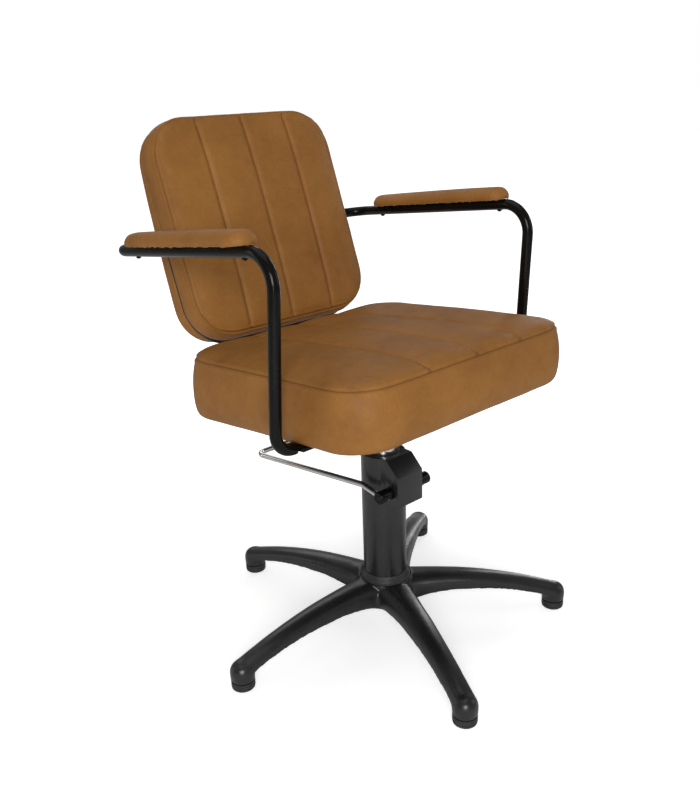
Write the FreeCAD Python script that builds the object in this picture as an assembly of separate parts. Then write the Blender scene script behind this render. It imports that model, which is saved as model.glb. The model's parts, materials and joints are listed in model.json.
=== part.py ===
import FreeCAD, Part
import math
import os

# Hydraulic styling chair with a five-arm base.
# Millimetres, +Z up, the chair faces -Y and the sitter's right-hand side is -X.
# Every piece is built round the column's axis, which stands on the floor at zero.
# The finished pieces are then moved so that the origin lies on the floor under the
# middle of the whole chair's overall box.

# ---- Driving dimensions ------------------------------------------------------

# Five-arm base
FOOT_CIRCLE_R = 306.0      # floor circle through the five foot centres
FOOT_R = 20.5              # cup at the end of each arm
ARM_COUNT = 5
FIRST_ARM_DEG = -112.0     # direction of the first arm, from +X
HUB_R = 48.0
HUB_TOP_Z = 88.0
HUB_FLOOR_Z = 44.0
CAST_WALL = 4.0
GLIDE_H = 14.0

# Column and hydraulic pump
COLUMN_R = 38.0
COLUMN_WALL = 4.0
COLUMN_TOP_Z = 326.0
RAM_R = 25.0
LIFT_TRAVEL = 130.0
HEAD_HALF_W = 29.5
HEAD_FRONT_Y = -63.0
HEAD_BOTTOM_Z = 247.0
HEAD_CHAMFER = 24.5
RUNNING_GAP = 0.05         # radial clearance of a sliding or turning fit

# Foot lever
SHAFT_Y = -46.0
SHAFT_Z = 271.0
SHAFT_R = 6.0
SHAFT_HALF_LENGTH = 58.5
BAR_R = 5.0
LEVER_SWING_DEG = 26.0
CAM_BASE_R = 7.5           # plunger travel = this radius x lever angle in radians
CAM_LEAD = 1.0             # involute angle already unwound at rest, in radians

# Seat
SEAT_HALF_W = 244.0
SEAT_FRONT_Y = -208.0
SEAT_REAR_Y = 235.0
SEAT_CORNER_R = 70.0
SEAT_BOTTOM_Z = 423.0      # underside, above the column axis
SEAT_THICKNESS = 114.0
SEAT_TILT_DEG = 6.0        # the front is higher
BOARD_T = 15.0
LEATHER_T = 3.0            # leather with its wadding

# Arm frame
ARM_X = 270.0
POST_FOOT_X = 276.0        # the posts splay out towards their feet
ARM_TUBE_R = 9.0
ARM_TUBE_WALL = 2.0
ARM_RAIL_Z = 703.5         # rail height above the column axis
ARM_RAIL_TILT_DEG = 6.4
ARM_CROSS_Y = 338.5
POST_FOOT_Y = -69.0
POST_LEAN = 0.0565         # forward lean of the front post, mm per mm of height
POST_FOOT_Z = 427.0
PAD_FRONT_Y = -37.0
PAD_REAR_Y = 279.0
PAD_W = 48.0

# Backrest
BACK_Y = 282.0             # centre of the front seam
BACK_Z = 689.0
BACK_TILT_DEG = 19.4
BACK_HALF_W = 185.5
BACK_HALF_H = 185.0
BACK_CORNER_R = 70.0       # corners of the front cushion
REAR_CORNER_R = 60.0       # corners of the rear panel
BACK_CROWN = 12.0
BACK_FRONT_T = 45.0        # depth of the front cushion behind its seam
REAR_TOP_T = 54.0          # depth of the rear panel's bowed skin at its top edge,
REAR_MIDDLE_T = 74.2       # at mid height
REAR_BOTTOM_T = 79.0       # and at its bottom edge

X_AXIS = FreeCAD.Vector(1, 0, 0)
Y_AXIS = FreeCAD.Vector(0, 1, 0)
Z_AXIS = FreeCAD.Vector(0, 0, 1)


# ---- Shape helpers -----------------------------------------------------------

def point(x, y, z):
    return FreeCAD.Vector(x, y, z)


def box(x_range, y_range, z_range):
    size = [high - low for low, high in (x_range, y_range, z_range)]
    return Part.makeBox(*size, point(x_range[0], y_range[0], z_range[0]))


def disc(radius, z_range, x=0.0, y=0.0):
    return Part.makeCylinder(radius, z_range[1] - z_range[0], point(x, y, z_range[0]))


def ring(inner_r, outer_r, z_range, x=0.0, y=0.0):
    return disc(outer_r, z_range, x, y).cut(disc(inner_r, z_range, x, y))


def cross_disc(radius, x_range, y, z):
    """Cylinder along X."""
    return Part.makeCylinder(radius, x_range[1] - x_range[0], point(x_range[0], y, z), X_AXIS)


def cross_ring(inner_r, outer_r, x_range, y, z):
    return cross_disc(outer_r, x_range, y, z).cut(cross_disc(inner_r, x_range, y, z))


def turned(edges):
    """Solid of revolution about Z, from a closed outline in the XZ plane."""
    face = Part.Face(Part.Wire(edges))
    return face.revolve(point(0, 0, 0), Z_AXIS, 360)


def turned_polygon(*corners):
    """Solid of revolution about Z, from (radius, height) corners."""
    points = [point(r, 0, z) for r, z in corners]
    return turned([Part.LineSegment(a, b).toShape()
                   for a, b in zip(points, points[1:] + points[:1])])


def arc(start, middle, end):
    return Part.Arc(start, middle, end).toShape()


def line(start, end):
    return Part.LineSegment(start, end).toShape()


def rounded_prism(x_half, y_range, corner_r, z_range):
    """Upright block whose four vertical edges are rounded."""
    block = box((-x_half, x_half), y_range, z_range)
    upright = [edge for edge in block.Edges
               if abs(edge.tangentAt(edge.FirstParameter).z) > 0.99]
    return block.makeFillet(corner_r, upright)


def edges_at(shape, inside):
    """The shape's edges whose middle satisfies a test."""
    chosen = []
    for edge in shape.Edges:
        middle = edge.valueAt(0.5 * (edge.FirstParameter + edge.LastParameter))
        if inside(middle):
            chosen.append(edge)
    return chosen


def bent_path(corners, bend_r):
    """Wire along straight runs joined by arcs of one bend radius at each inner corner."""
    edges = []
    start = corners[0]
    for before, corner, after in zip(corners, corners[1:], corners[2:]):
        inward = (before - corner).normalize()
        outward = (after - corner).normalize()
        half_angle = 0.5 * inward.getAngle(outward)
        reach = bend_r / math.tan(half_angle)
        middle = (inward + outward).normalize()
        centre = corner + middle * (bend_r / math.sin(half_angle))
        entry = corner + inward * reach
        leave = corner + outward * reach
        edges.append(line(start, entry))
        edges.append(arc(entry, centre - middle * bend_r, leave))
        start = leave
    edges.append(line(start, corners[-1]))
    return Part.Wire(edges)


def swept_rod(path, radius):
    start = path.OrderedEdges[0].valueAt(path.OrderedEdges[0].FirstParameter)
    heading = path.OrderedEdges[0].tangentAt(path.OrderedEdges[0].FirstParameter)
    profile = Part.Wire(Part.Circle(start, heading, radius).toShape())
    return path.makePipeShell([profile], True, True)


def coil_spring(coil_r, wire_r, turns, z_range, x, y):
    """Helical spring with its axis along Z, its wire in short straight lengths."""
    per_turn = 8
    count = turns * per_turn
    low = z_range[0] + wire_r
    length = z_range[1] - z_range[0] - 2 * wire_r
    corners = []
    for k in range(count + 1):
        angle = 2 * math.pi * k / per_turn
        corners.append(point(x + coil_r * math.cos(angle), y + coil_r * math.sin(angle),
                             low + length * k / count))
    profile = Part.Wire(Part.Circle(corners[0], corners[1] - corners[0], wire_r).toShape())
    mitred = 1
    return Part.makePolygon(corners).makePipeShell([profile], True, False, mitred)


def hex_prism(across_flats, z_range, x=0.0, y=0.0):
    corner_r = across_flats / math.sqrt(3)
    corners = [point(x + corner_r * math.cos(math.radians(60 * k)),
                     y + corner_r * math.sin(math.radians(60 * k)), z_range[0])
               for k in range(7)]
    face = Part.Face(Part.makePolygon(corners))
    return face.extrude(point(0, 0, z_range[1] - z_range[0]))


def hex_bolt(shank_r, across_flats, head_h, seat_z, tip_z, x=0.0, y=0.0):
    """Bolt that points up, with its head's bearing face at seat_z."""
    head = hex_prism(across_flats, (seat_z - head_h, seat_z), x, y)
    return head.fuse(disc(shank_r, (seat_z, tip_z), x, y)).removeSplitter()


def dome_screw(shank_r, head_r, head_h, seat_z, tip_z, x=0.0, y=0.0):
    """Dome-head screw that points up, with a cross recess in its head."""
    sphere_r = (head_r ** 2 + head_h ** 2) / (2 * head_h)
    ball = Part.makeSphere(sphere_r, point(x, y, seat_z - head_h + sphere_r))
    head = ball.common(disc(head_r, (seat_z - head_h, seat_z), x, y))
    screw = head.fuse(disc(shank_r, (seat_z, tip_z), x, y))
    slot_half_l = 0.5 * head_r
    slot_half_w = 0.12 * head_r
    slot_z = (seat_z - head_h - 1, seat_z - 0.45 * head_h)
    for x_half, y_half in ((slot_half_l, slot_half_w), (slot_half_w, slot_half_l)):
        screw = screw.cut(box((x - x_half, x + x_half), (y - y_half, y + y_half), slot_z))
    return screw.removeSplitter()


def group(solids):
    return Part.makeCompound(list(solids))


def around_base(solid):
    """Copies of a solid built along +X, one on each base arm."""
    copies = []
    for k in range(ARM_COUNT):
        copy = solid.copy()
        copy.rotate(point(0, 0, 0), Z_AXIS, FIRST_ARM_DEG + 360.0 / ARM_COUNT * k)
        copies.append(copy)
    return copies


# Frames of the tilted assemblies: a point built in the frame is placed on the chair.
SEAT_FRAME = FreeCAD.Placement(point(0, 0, SEAT_BOTTOM_Z),
                               FreeCAD.Rotation(X_AXIS, -SEAT_TILT_DEG))
BACK_FRAME = FreeCAD.Placement(point(0, BACK_Y, BACK_Z),
                               FreeCAD.Rotation(X_AXIS, -BACK_TILT_DEG))


def rail_frame(side):
    return FreeCAD.Placement(point(side * ARM_X, 0, ARM_RAIL_Z),
                             FreeCAD.Rotation(X_AXIS, -ARM_RAIL_TILT_DEG))


def placed(shape, frame):
    moved = shape.copy()
    moved.Placement = frame.multiply(moved.Placement)
    return moved


def rail_height(y):
    return ARM_RAIL_Z - y * math.tan(math.radians(ARM_RAIL_TILT_DEG))


# ---- Five-arm base -----------------------------------------------------------

ARM_ROOT_R = 60.0          # where an arm leaves the hub
ARM_TOP_Z = 89.0           # height of the arm's ridge at its root
ARM_DROP = 43.0            # fall of the ridge over the arm's length
ARM_LENGTH = 250.0
ARM_CROWN_R = 140.0        # the underside is highest at this distance from the column
ARM_CROWN_Z = 55.0
ARM_UNDER_CURVE = 0.0011
ARM_NECK_R = 290.0         # the arm is narrowest here
ARM_NECK_HALF_W = 19.5
ARM_ROOT_FLARE = 11.0      # extra half width at the root
HUB_BOTTOM_Z = 43.0
HUB_SKIRT_R = 56.0
CUP_DOME_Z = 31.0          # the foot cup's dome springs from here
CUP_TOP_Z = 47.0
CUP_DRAFT = 0.5
GLIDE_STEM_R = 4.0
GLIDE_STEM_H = 11.0
BASE_BOLT_R = 6.0
BASE_BOLT_HOLE_R = 6.5
WASHER_R = 30.0
WASHER_T = 3.0
SOCKET_FLOOR_T = 8.0       # the column stands on this much of the hub
COLLAR_H = 12.0            # collar height above the hub
COLLAR_SEAT = 6.0          # and below the hub's rim


def arm_top(r):
    return ARM_TOP_Z - ARM_DROP * ((r - ARM_ROOT_R) / ARM_LENGTH) ** 2


def arm_bottom(r):
    return ARM_CROWN_Z - ARM_UNDER_CURVE * (r - ARM_CROWN_R) ** 2


def arm_half_width(r):
    taper = (ARM_NECK_R - r) / (ARM_NECK_R - ARM_ROOT_R)
    return ARM_NECK_HALF_W + ARM_ROOT_FLARE * taper ** 2


def arm_section(r, wall):
    """Round-topped section of a base arm, inset by a wall thickness."""
    half = arm_half_width(r) - wall
    shoulder = 0.94 * half
    top = arm_top(r) - wall
    shoulder_z = top - 0.4 * half
    bottom = arm_bottom(r) - 2 * wall
    left = point(r, -half, bottom)
    right = point(r, half, bottom)
    left_shoulder = point(r, -shoulder, shoulder_z)
    right_shoulder = point(r, shoulder, shoulder_z)
    return Part.Wire([line(left, left_shoulder),
                      arc(left_shoulder, point(r, 0, top), right_shoulder),
                      line(right_shoulder, right),
                      line(right, left)])


def foot_cup():
    """Upright cup with a domed top at the end of an arm."""
    slope = math.radians(45)
    shoulder = point(FOOT_R * math.cos(slope) + 1.0, 0,
                     CUP_DOME_Z + (CUP_TOP_Z - CUP_DOME_Z) * math.sin(slope))
    base = point(0, 0, GLIDE_H)
    rim = point(FOOT_R - CUP_DRAFT, 0, GLIDE_H)
    side = point(FOOT_R, 0, CUP_DOME_Z)
    top = point(0, 0, CUP_TOP_Z)
    cup = turned([line(base, rim), line(rim, side), arc(side, shoulder, top), line(top, base)])
    cup.translate(point(FOOT_CIRCLE_R, 0, 0))
    return cup


def base_star():
    stations = [20.0, 70.0, 130.0, 190.0, 250.0, FOOT_CIRCLE_R]
    outer = Part.makeLoft([arm_section(r, 0.0) for r in stations], True, False)
    inner = Part.makeLoft([arm_section(r, CAST_WALL) for r in stations[1:-1]], True, False)
    axis_low = point(0, 0, HUB_BOTTOM_Z)
    skirt_low = point(HUB_SKIRT_R, 0, HUB_BOTTOM_Z)
    skirt_high = point(HUB_SKIRT_R, 0, HUB_TOP_Z - 30)
    waist = point(HUB_R + 2, 0, HUB_TOP_Z - 16)
    rim = point(HUB_R, 0, HUB_TOP_Z)
    axis_high = point(0, 0, HUB_TOP_Z)
    star = turned([line(axis_low, skirt_low), line(skirt_low, skirt_high),
                   arc(skirt_high, waist, rim), line(rim, axis_high), line(axis_high, axis_low)])
    for arm in around_base(outer.fuse(foot_cup())):
        star = star.fuse(arm)
    for hollow in around_base(inner):
        star = star.cut(hollow)
    for stem_hole in around_base(disc(GLIDE_STEM_R, (0, GLIDE_H + GLIDE_STEM_H + 1),
                                      FOOT_CIRCLE_R)):
        star = star.cut(stem_hole)
    socket_z = HUB_FLOOR_Z + SOCKET_FLOOR_T
    star = star.cut(disc(HUB_R + 22, (HUB_TOP_Z, HUB_TOP_Z + 20)))
    star = star.cut(disc(COLUMN_R, (socket_z, HUB_TOP_Z)))
    star = star.cut(disc(HUB_R - 3, (HUB_TOP_Z - COLLAR_SEAT, HUB_TOP_Z)))
    star = star.cut(disc(WASHER_R + 12, (0, HUB_FLOOR_Z)))
    star = star.cut(disc(BASE_BOLT_HOLE_R, (HUB_FLOOR_Z, socket_z)))
    return star.removeSplitter()


def floor_glides():
    """Plastic feet with two grooves round the side and a stem pressed up into the cup."""
    side = FOOT_R - 1
    groove = side - 1
    stem_top = GLIDE_H + GLIDE_STEM_H
    glide = turned_polygon((0, 0), (side - 2, 0), (side - 0.5, 1.5),
                           (side, 5), (groove, 5.5), (groove, 6.5), (side, 7),
                           (side, 10), (groove, 10.5), (groove, 11.5), (side, 12),
                           (side, GLIDE_H), (GLIDE_STEM_R, GLIDE_H), (GLIDE_STEM_R, stem_top),
                           (0, stem_top))
    glide.translate(point(FOOT_CIRCLE_R, 0, 0))
    return group(around_base(glide))


def column_collar():
    """Black ring that fills the hub's rim around the column."""
    foot_z = HUB_TOP_Z - COLLAR_SEAT
    top_z = HUB_TOP_Z + COLLAR_H
    return turned_polygon((COLUMN_R, foot_z), (HUB_R - 3, foot_z), (HUB_R - 3.5, HUB_TOP_Z - 1),
                          (COLUMN_R + 4, HUB_TOP_Z + 1), (COLUMN_R + 1.2, top_z),
                          (COLUMN_R, top_z))


# ---- Column and pump ---------------------------------------------------------

PLUG_Z = (HUB_FLOOR_Z + SOCKET_FLOOR_T, HUB_FLOOR_Z + 22)
VALVE_Z = (PLUG_Z[1], PLUG_Z[1] + 14)
BALL_R = 4.0
BALL_POCKET_DEPTH = 9.0
VALVE_PORTS_X = (-12.0, 12.0)
CYLINDER_Z = (VALVE_Z[1], HEAD_BOTTOM_Z + 6)
CYLINDER_R = RAM_R + 1.0
CYLINDER_WALL = 3.5
PISTON_H = 20.0
STOP_GAP = 19.0            # left above the piston at full lift
PISTON_TOP_Z = CYLINDER_Z[1] - STOP_GAP - LIFT_TRAVEL
PISTON_Z = (PISTON_TOP_Z - PISTON_H, PISTON_TOP_Z)
PISTON_R = CYLINDER_R - RUNNING_GAP
RAM_BOTTOM_Z = PISTON_Z[1] + 3
GUIDE_Z = (290.0, 318.0)
COLUMN_BORE_R = COLUMN_R - COLUMN_WALL
CAM_HALF_W = 5.0
CAVITY_HALF_W = 10.0
CAVITY_Z = (257.0, 290.0)
PLUNGER_Y = SHAFT_Y - CAM_BASE_R
PLUNGER_FOOT_Z = SHAFT_Z + CAM_BASE_R * CAM_LEAD
PLUNGER_R = 4.5
PLUNGER_HEAD_H = 2.0
CAM_ROOM_Y = (HEAD_FRONT_Y + 3.0, -31.5)       # room for the cam to swing
COVER_ROOM_Y = (HEAD_FRONT_Y + 5.0, -41.0)     # its opening in the head's underside
COVER_Y = (HEAD_FRONT_Y + 2.0, -39.5)
COVER_SIDE_GAP = 3.0
COVER_T = 3.5
COVER_SCREW_R = 1.65
COVER_SCREW_L = 8.5
COVER_SCREWS = [(x, y) for x in (-22.5, 22.5) for y in (-58.0, -44.0)]
SHAFT_BUSH_R = SHAFT_R + 2.5


def column_tube():
    tube = ring(COLUMN_BORE_R, COLUMN_R, (PLUG_Z[0], COLUMN_TOP_Z - 2))
    window = box((-HEAD_HALF_W, HEAD_HALF_W), (-COLUMN_R - 5, 0), (HEAD_BOTTOM_Z, COLUMN_TOP_Z))
    return tube.cut(window)


def base_plug():
    """Threaded plug that closes the bottom of the column."""
    return disc(COLUMN_BORE_R, PLUG_Z).cut(disc(BASE_BOLT_R, PLUG_Z))


def base_washer():
    return ring(BASE_BOLT_HOLE_R, WASHER_R, (HUB_FLOOR_Z - WASHER_T, HUB_FLOOR_Z))


def base_bolt():
    return hex_bolt(BASE_BOLT_R, 19.0, 7.5, HUB_FLOOR_Z - WASHER_T, PLUG_Z[1] - 2)


def foot_valve():
    """Valve block under the pressure cylinder, with two ball pockets."""
    block = disc(COLUMN_BORE_R - 0.5, VALVE_Z)
    pocket_z = VALVE_Z[1] - BALL_POCKET_DEPTH
    for x in VALVE_PORTS_X:
        block = block.cut(disc(BALL_R + 0.6, (pocket_z, VALVE_Z[1]), x))
        block = block.cut(disc(0.5 * BALL_R, (VALVE_Z[0], pocket_z), x))
    return block


def check_balls():
    centre_z = VALVE_Z[1] - BALL_R - 0.8
    return group(Part.makeSphere(BALL_R, point(x, 0, centre_z)) for x in VALVE_PORTS_X)


def pressure_cylinder():
    return ring(CYLINDER_R, CYLINDER_R + CYLINDER_WALL, CYLINDER_Z)


def pump_head():
    """Cast head: a block on the front of the column joined to a core inside it."""
    top_edge_y = HEAD_FRONT_Y + HEAD_CHAMFER
    chamfer_z = COLUMN_TOP_Z - HEAD_CHAMFER
    outline = [(HEAD_FRONT_Y, HEAD_BOTTOM_Z), (HEAD_FRONT_Y, chamfer_z),
               (top_edge_y, COLUMN_TOP_Z), (0, COLUMN_TOP_Z), (0, HEAD_BOTTOM_Z),
               (HEAD_FRONT_Y, HEAD_BOTTOM_Z)]
    face = Part.Face(Part.makePolygon([point(-HEAD_HALF_W, y, z) for y, z in outline]))
    block = face.extrude(point(2 * HEAD_HALF_W, 0, 0))
    block = block.cut(disc(COLUMN_BORE_R - 0.05, (HEAD_BOTTOM_Z, CYLINDER_Z[1])))
    core = disc(COLUMN_BORE_R, (CYLINDER_Z[1], COLUMN_TOP_Z))
    cap = disc(COLUMN_R, (COLUMN_TOP_Z - 2, COLUMN_TOP_Z))
    head = block.fuse(core).fuse(cap)
    head = head.cut(disc(CYLINDER_R, (HEAD_BOTTOM_Z, COLUMN_TOP_Z)))
    head = head.cut(disc(CYLINDER_R + 3, (GUIDE_Z[0], COLUMN_TOP_Z)))
    head = head.cut(box((-CAVITY_HALF_W, CAVITY_HALF_W), CAM_ROOM_Y, CAVITY_Z))
    head = head.cut(box((-CAVITY_HALF_W, CAVITY_HALF_W), COVER_ROOM_Y,
                        (HEAD_BOTTOM_Z, CAVITY_Z[0])))
    head = head.cut(cover_plate_blank())
    head = head.cut(disc(PLUNGER_R + RUNNING_GAP, (CAVITY_Z[1], CAVITY_Z[1] + 10), 0, PLUNGER_Y))
    head = head.cut(cross_disc(SHAFT_BUSH_R, (-HEAD_HALF_W, HEAD_HALF_W), SHAFT_Y, SHAFT_Z))
    for x, y in COVER_SCREWS:
        head = head.cut(disc(COVER_SCREW_R + RUNNING_GAP,
                             (HEAD_BOTTOM_Z, HEAD_BOTTOM_Z + COVER_SCREW_L + 0.5), x, y))
    return head.removeSplitter()


def cover_plate_blank():
    half_w = HEAD_HALF_W - COVER_SIDE_GAP
    return box((-half_w, half_w), COVER_Y, (HEAD_BOTTOM_Z, HEAD_BOTTOM_Z + COVER_T))


def pump_cover():
    """Plate that closes the cam chamber from below."""
    plate = cover_plate_blank()
    for x, y in COVER_SCREWS:
        plate = plate.cut(disc(COVER_SCREW_R + 0.1, (HEAD_BOTTOM_Z, HEAD_BOTTOM_Z + COVER_T), x, y))
    return plate


def pump_cover_screws():
    head_r, head_h = 3.2, 2.2
    return group(dome_screw(COVER_SCREW_R, head_r, head_h, HEAD_BOTTOM_Z,
                            HEAD_BOTTOM_Z + COVER_SCREW_L, x, y)
                 for x, y in COVER_SCREWS)


def ram_guide_bush():
    return ring(RAM_R + RUNNING_GAP, CYLINDER_R + 3, GUIDE_Z)


def wiper_seal():
    """Rubber lip seal at the top of the pump head."""
    lip_z = COLUMN_TOP_Z + 1.5
    inner = RAM_R + RUNNING_GAP
    return turned_polygon((inner, GUIDE_Z[1]), (CYLINDER_R + 3, GUIDE_Z[1]),
                          (CYLINDER_R + 3, COLUMN_TOP_Z), (inner + 1.2, lip_z), (inner, lip_z))


def shaft_bushes():
    return group(cross_ring(SHAFT_R + RUNNING_GAP, SHAFT_BUSH_R, x_range, SHAFT_Y, SHAFT_Z)
                 for x_range in ((-HEAD_HALF_W, -CAVITY_HALF_W), (CAVITY_HALF_W, HEAD_HALF_W)))


def plunger_spring():
    head_top = PLUNGER_FOOT_Z + PLUNGER_HEAD_H
    coil_r, wire_r, turns = 5.6, 0.6, 4
    return coil_spring(coil_r, wire_r, turns, (head_top, CAVITY_Z[1]), 0, PLUNGER_Y)


def pump_plunger():
    head_r, length = 6.0, 14.5
    head = disc(head_r, (PLUNGER_FOOT_Z, PLUNGER_FOOT_Z + PLUNGER_HEAD_H), 0, PLUNGER_Y)
    stem = disc(PLUNGER_R, (PLUNGER_FOOT_Z, PLUNGER_FOOT_Z + length), 0, PLUNGER_Y)
    return head.fuse(stem).removeSplitter()


# ---- Foot lever --------------------------------------------------------------

def lever_shaft():
    shaft = cross_disc(SHAFT_R, (-SHAFT_HALF_LENGTH, SHAFT_HALF_LENGTH), SHAFT_Y, SHAFT_Z)
    ends = [edge for edge in shaft.Edges if edge.Length < 2.1 * math.pi * SHAFT_R
            and abs(edge.CenterOfMass.x) > SHAFT_HALF_LENGTH - 0.1]
    return shaft.makeChamfer(1.0, ends)


def pump_cam():
    """Involute cam: its flat follower rises in proportion to the lever's angle."""
    start = math.pi - CAM_LEAD
    unwound = CAM_LEAD + math.radians(LEVER_SWING_DEG) + 0.05

    def involute(u):
        angle = start + u
        y = math.cos(angle) + u * math.sin(angle)
        z = math.sin(angle) - u * math.cos(angle)
        return point(-CAM_HALF_W, SHAFT_Y + CAM_BASE_R * y, SHAFT_Z + CAM_BASE_R * z)

    curve = Part.BSplineCurve()
    curve.interpolate([involute(unwound * k / 8) for k in range(9)])
    centre = point(-CAM_HALF_W, SHAFT_Y, SHAFT_Z)
    outline = Part.Wire([line(centre, involute(0)), curve.toShape(),
                         line(involute(unwound), centre)])
    lobe = Part.Face(outline).extrude(point(2 * CAM_HALF_W, 0, 0))
    hub = cross_disc(CAM_BASE_R - 0.1, (-CAM_HALF_W, CAM_HALF_W), SHAFT_Y, SHAFT_Z)
    bore = cross_disc(SHAFT_R, (-CAM_HALF_W, CAM_HALF_W), SHAFT_Y, SHAFT_Z)
    return lobe.fuse(hub).cut(bore).removeSplitter()


BOSS_X = (HEAD_HALF_W + 0.5, 58.0)
BOSS_R = 10.5
BAR_X = 51.0
BAR_BEND_R = 14.0
BAR_RISE_DEG = 11.0        # the bar leaves its boss rearwards and up
BAR_REAR_X = 99.0          # rear corners of the bar
BAR_REAR_Y = 229.0
BAR_REAR_Z = 281.5
SET_SCREW_X = 41.0
SET_SCREW_R = 3.0
SET_SCREW_SOCKET_R = 1.4


def foot_bar():
    """One bent chrome rod, from one boss round behind the column to the other."""
    rise = math.radians(BAR_RISE_DEG)
    entry = SHAFT_R + 1.5
    half = [point(BAR_X, SHAFT_Y + entry * math.cos(rise), SHAFT_Z + entry * math.sin(rise)),
            point(BAR_X, -1, SHAFT_Z + (-1 - SHAFT_Y) * math.tan(rise)),
            point(BAR_REAR_X, BAR_REAR_Y, BAR_REAR_Z)]
    mirrored = [point(-corner.x, corner.y, corner.z) for corner in reversed(half)]
    return swept_rod(bent_path(half + mirrored, BAR_BEND_R), BAR_R)


def set_screw_axis(side):
    """Start and direction of a boss's set screw, which points forward and down."""
    angle = math.radians(35)
    return point(side * SET_SCREW_X, SHAFT_Y, SHAFT_Z), point(0, -math.cos(angle), -math.sin(angle))


def set_screw_blank(side, radius, start_r, end_r):
    origin, heading = set_screw_axis(side)
    return Part.makeCylinder(radius, end_r - start_r, origin + heading * start_r, heading)


def lever_bosses():
    bosses = []
    for side in (-1, 1):
        x_range = sorted((side * BOSS_X[0], side * BOSS_X[1]))
        boss = cross_disc(BOSS_R, x_range, SHAFT_Y, SHAFT_Z)
        rims = [edge for edge in boss.Edges if abs(edge.CenterOfMass.y - SHAFT_Y) < 0.1
                and edge.Length < 2.1 * math.pi * BOSS_R]
        boss = boss.makeChamfer(1.0, rims)
        boss = boss.cut(cross_disc(SHAFT_R, x_range, SHAFT_Y, SHAFT_Z))
        boss = boss.cut(set_screw_blank(side, SET_SCREW_R, 0, BOSS_R + 2))
        bosses.append(boss.cut(foot_bar()))
    return group(bosses)


def lever_set_screws():
    screws = []
    for side in (-1, 1):
        screw = set_screw_blank(side, SET_SCREW_R, SHAFT_R + 0.1, BOSS_R + 0.4)
        socket = set_screw_blank(side, SET_SCREW_SOCKET_R, BOSS_R - 2, BOSS_R + 2)
        screws.append(screw.cut(socket))
    return group(screws)


# ---- Lift and seat mounting --------------------------------------------------

def piston_head():
    return disc(PISTON_R, PISTON_Z).cut(ring(PISTON_R - 3, PISTON_R + 1, piston_groove()))


def piston_groove():
    return (PISTON_Z[0] + 7, PISTON_Z[0] + 13)


def piston_seal():
    return ring(PISTON_R - 3, CYLINDER_R - 0.02, piston_groove())


def thrust_washer():
    return disc(RAM_R - 1, (PISTON_Z[1], RAM_BOTTOM_Z))


TAPER_Z = (352.0, 400.0)
TAPER_TOP_R = 22.5
MOUNT_PLATE_HALF = 95.0
MOUNT_PLATE_CORNER_R = 20.0
MOUNT_SOCKET_R = (32.0, 38.0)       # outside of the cast socket, at its mouth and its top
MOUNT_SOCKET_H = 78.0
MOUNT_MOUTH = 6.0                   # the socket's mouth hangs this far below the taper
RIB_HALF_L = 70.0
RIB_HALF_T = 3.0
RIB_RISE = 40.0                     # the ribs start this far above the taper's foot
M8_R = 4.0
M8_HOLE_R = 4.1
M8_FLATS = 13.0
M8_HEAD_H = 5.3
TEE_NUT_R = 5.5
TEE_NUT_FLANGE = (11.0, 1.5)        # radius and thickness
PLATE_BOLTS = [(x, y) for x in (-75.0, 75.0) for y in (-75.0, 75.0)]
BRACKET_BOLTS = [(side * x, -66.0) for side in (-1, 1) for x in (165.0, 200.0)]
BOARD_Z = (3.0, 3.0 + BOARD_T)      # seat board, above the seat's underside
CLOTH_Z = (1.8, 3.0)
PLATE_Z = (-4.2, 1.8)
BRACKET_Z = (-6.0, -0.1)
BOLT_TIP_Z = 14.0


def ram():
    rod = disc(RAM_R, (RAM_BOTTOM_Z, TAPER_Z[0]))
    taper = Part.makeCone(RAM_R, TAPER_TOP_R, TAPER_Z[1] - TAPER_Z[0], point(0, 0, TAPER_Z[0]))
    return rod.fuse(taper).removeSplitter()


def seat_mount():
    """Cast socket on the ram's taper, with a tilted plate under the seat board."""
    plate = rounded_prism(MOUNT_PLATE_HALF, (-MOUNT_PLATE_HALF, MOUNT_PLATE_HALF),
                          MOUNT_PLATE_CORNER_R, PLATE_Z)
    for x, y in PLATE_BOLTS:
        plate = plate.cut(disc(M8_HOLE_R, PLATE_Z, x, y))
    socket = Part.makeCone(*MOUNT_SOCKET_R, MOUNT_SOCKET_H,
                           point(0, 0, TAPER_Z[0] - MOUNT_MOUTH))
    clear = MOUNT_PLATE_HALF + 25
    above = placed(box((-clear, clear), (-clear, clear), (0, 60)), SEAT_FRAME)
    mount = placed(plate, SEAT_FRAME).fuse(socket.cut(above))
    rib = box((-RIB_HALF_L, RIB_HALF_L), (-RIB_HALF_T, RIB_HALF_T),
              (TAPER_Z[0] + RIB_RISE, SEAT_BOTTOM_Z - 2))
    for turn in (0, 90):
        web = rib.copy()
        web.rotate(point(0, 0, 0), Z_AXIS, turn)
        mount = mount.fuse(web.cut(above))
    gap = RUNNING_GAP
    bore = Part.makeCone(RAM_R + gap, TAPER_TOP_R + gap, TAPER_Z[1] - TAPER_Z[0],
                         point(0, 0, TAPER_Z[0]))
    mouth = disc(RAM_R + gap, (TAPER_Z[0] - MOUNT_MOUTH, TAPER_Z[0]))
    return mount.cut(bore).cut(mouth).cut(disc(TAPER_TOP_R + gap, (TAPER_Z[1], TAPER_Z[1] + 4)))


def seat_plate_bolts():
    return seat_bolts(PLATE_BOLTS, PLATE_Z[0])


def seat_bolts(places, bearing_z):
    """M8 bolts that point up into the seat board."""
    bolts = [hex_bolt(M8_R, M8_FLATS, M8_HEAD_H, bearing_z, BOLT_TIP_Z, x, y) for x, y in places]
    return placed(group(bolts), SEAT_FRAME)


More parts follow.
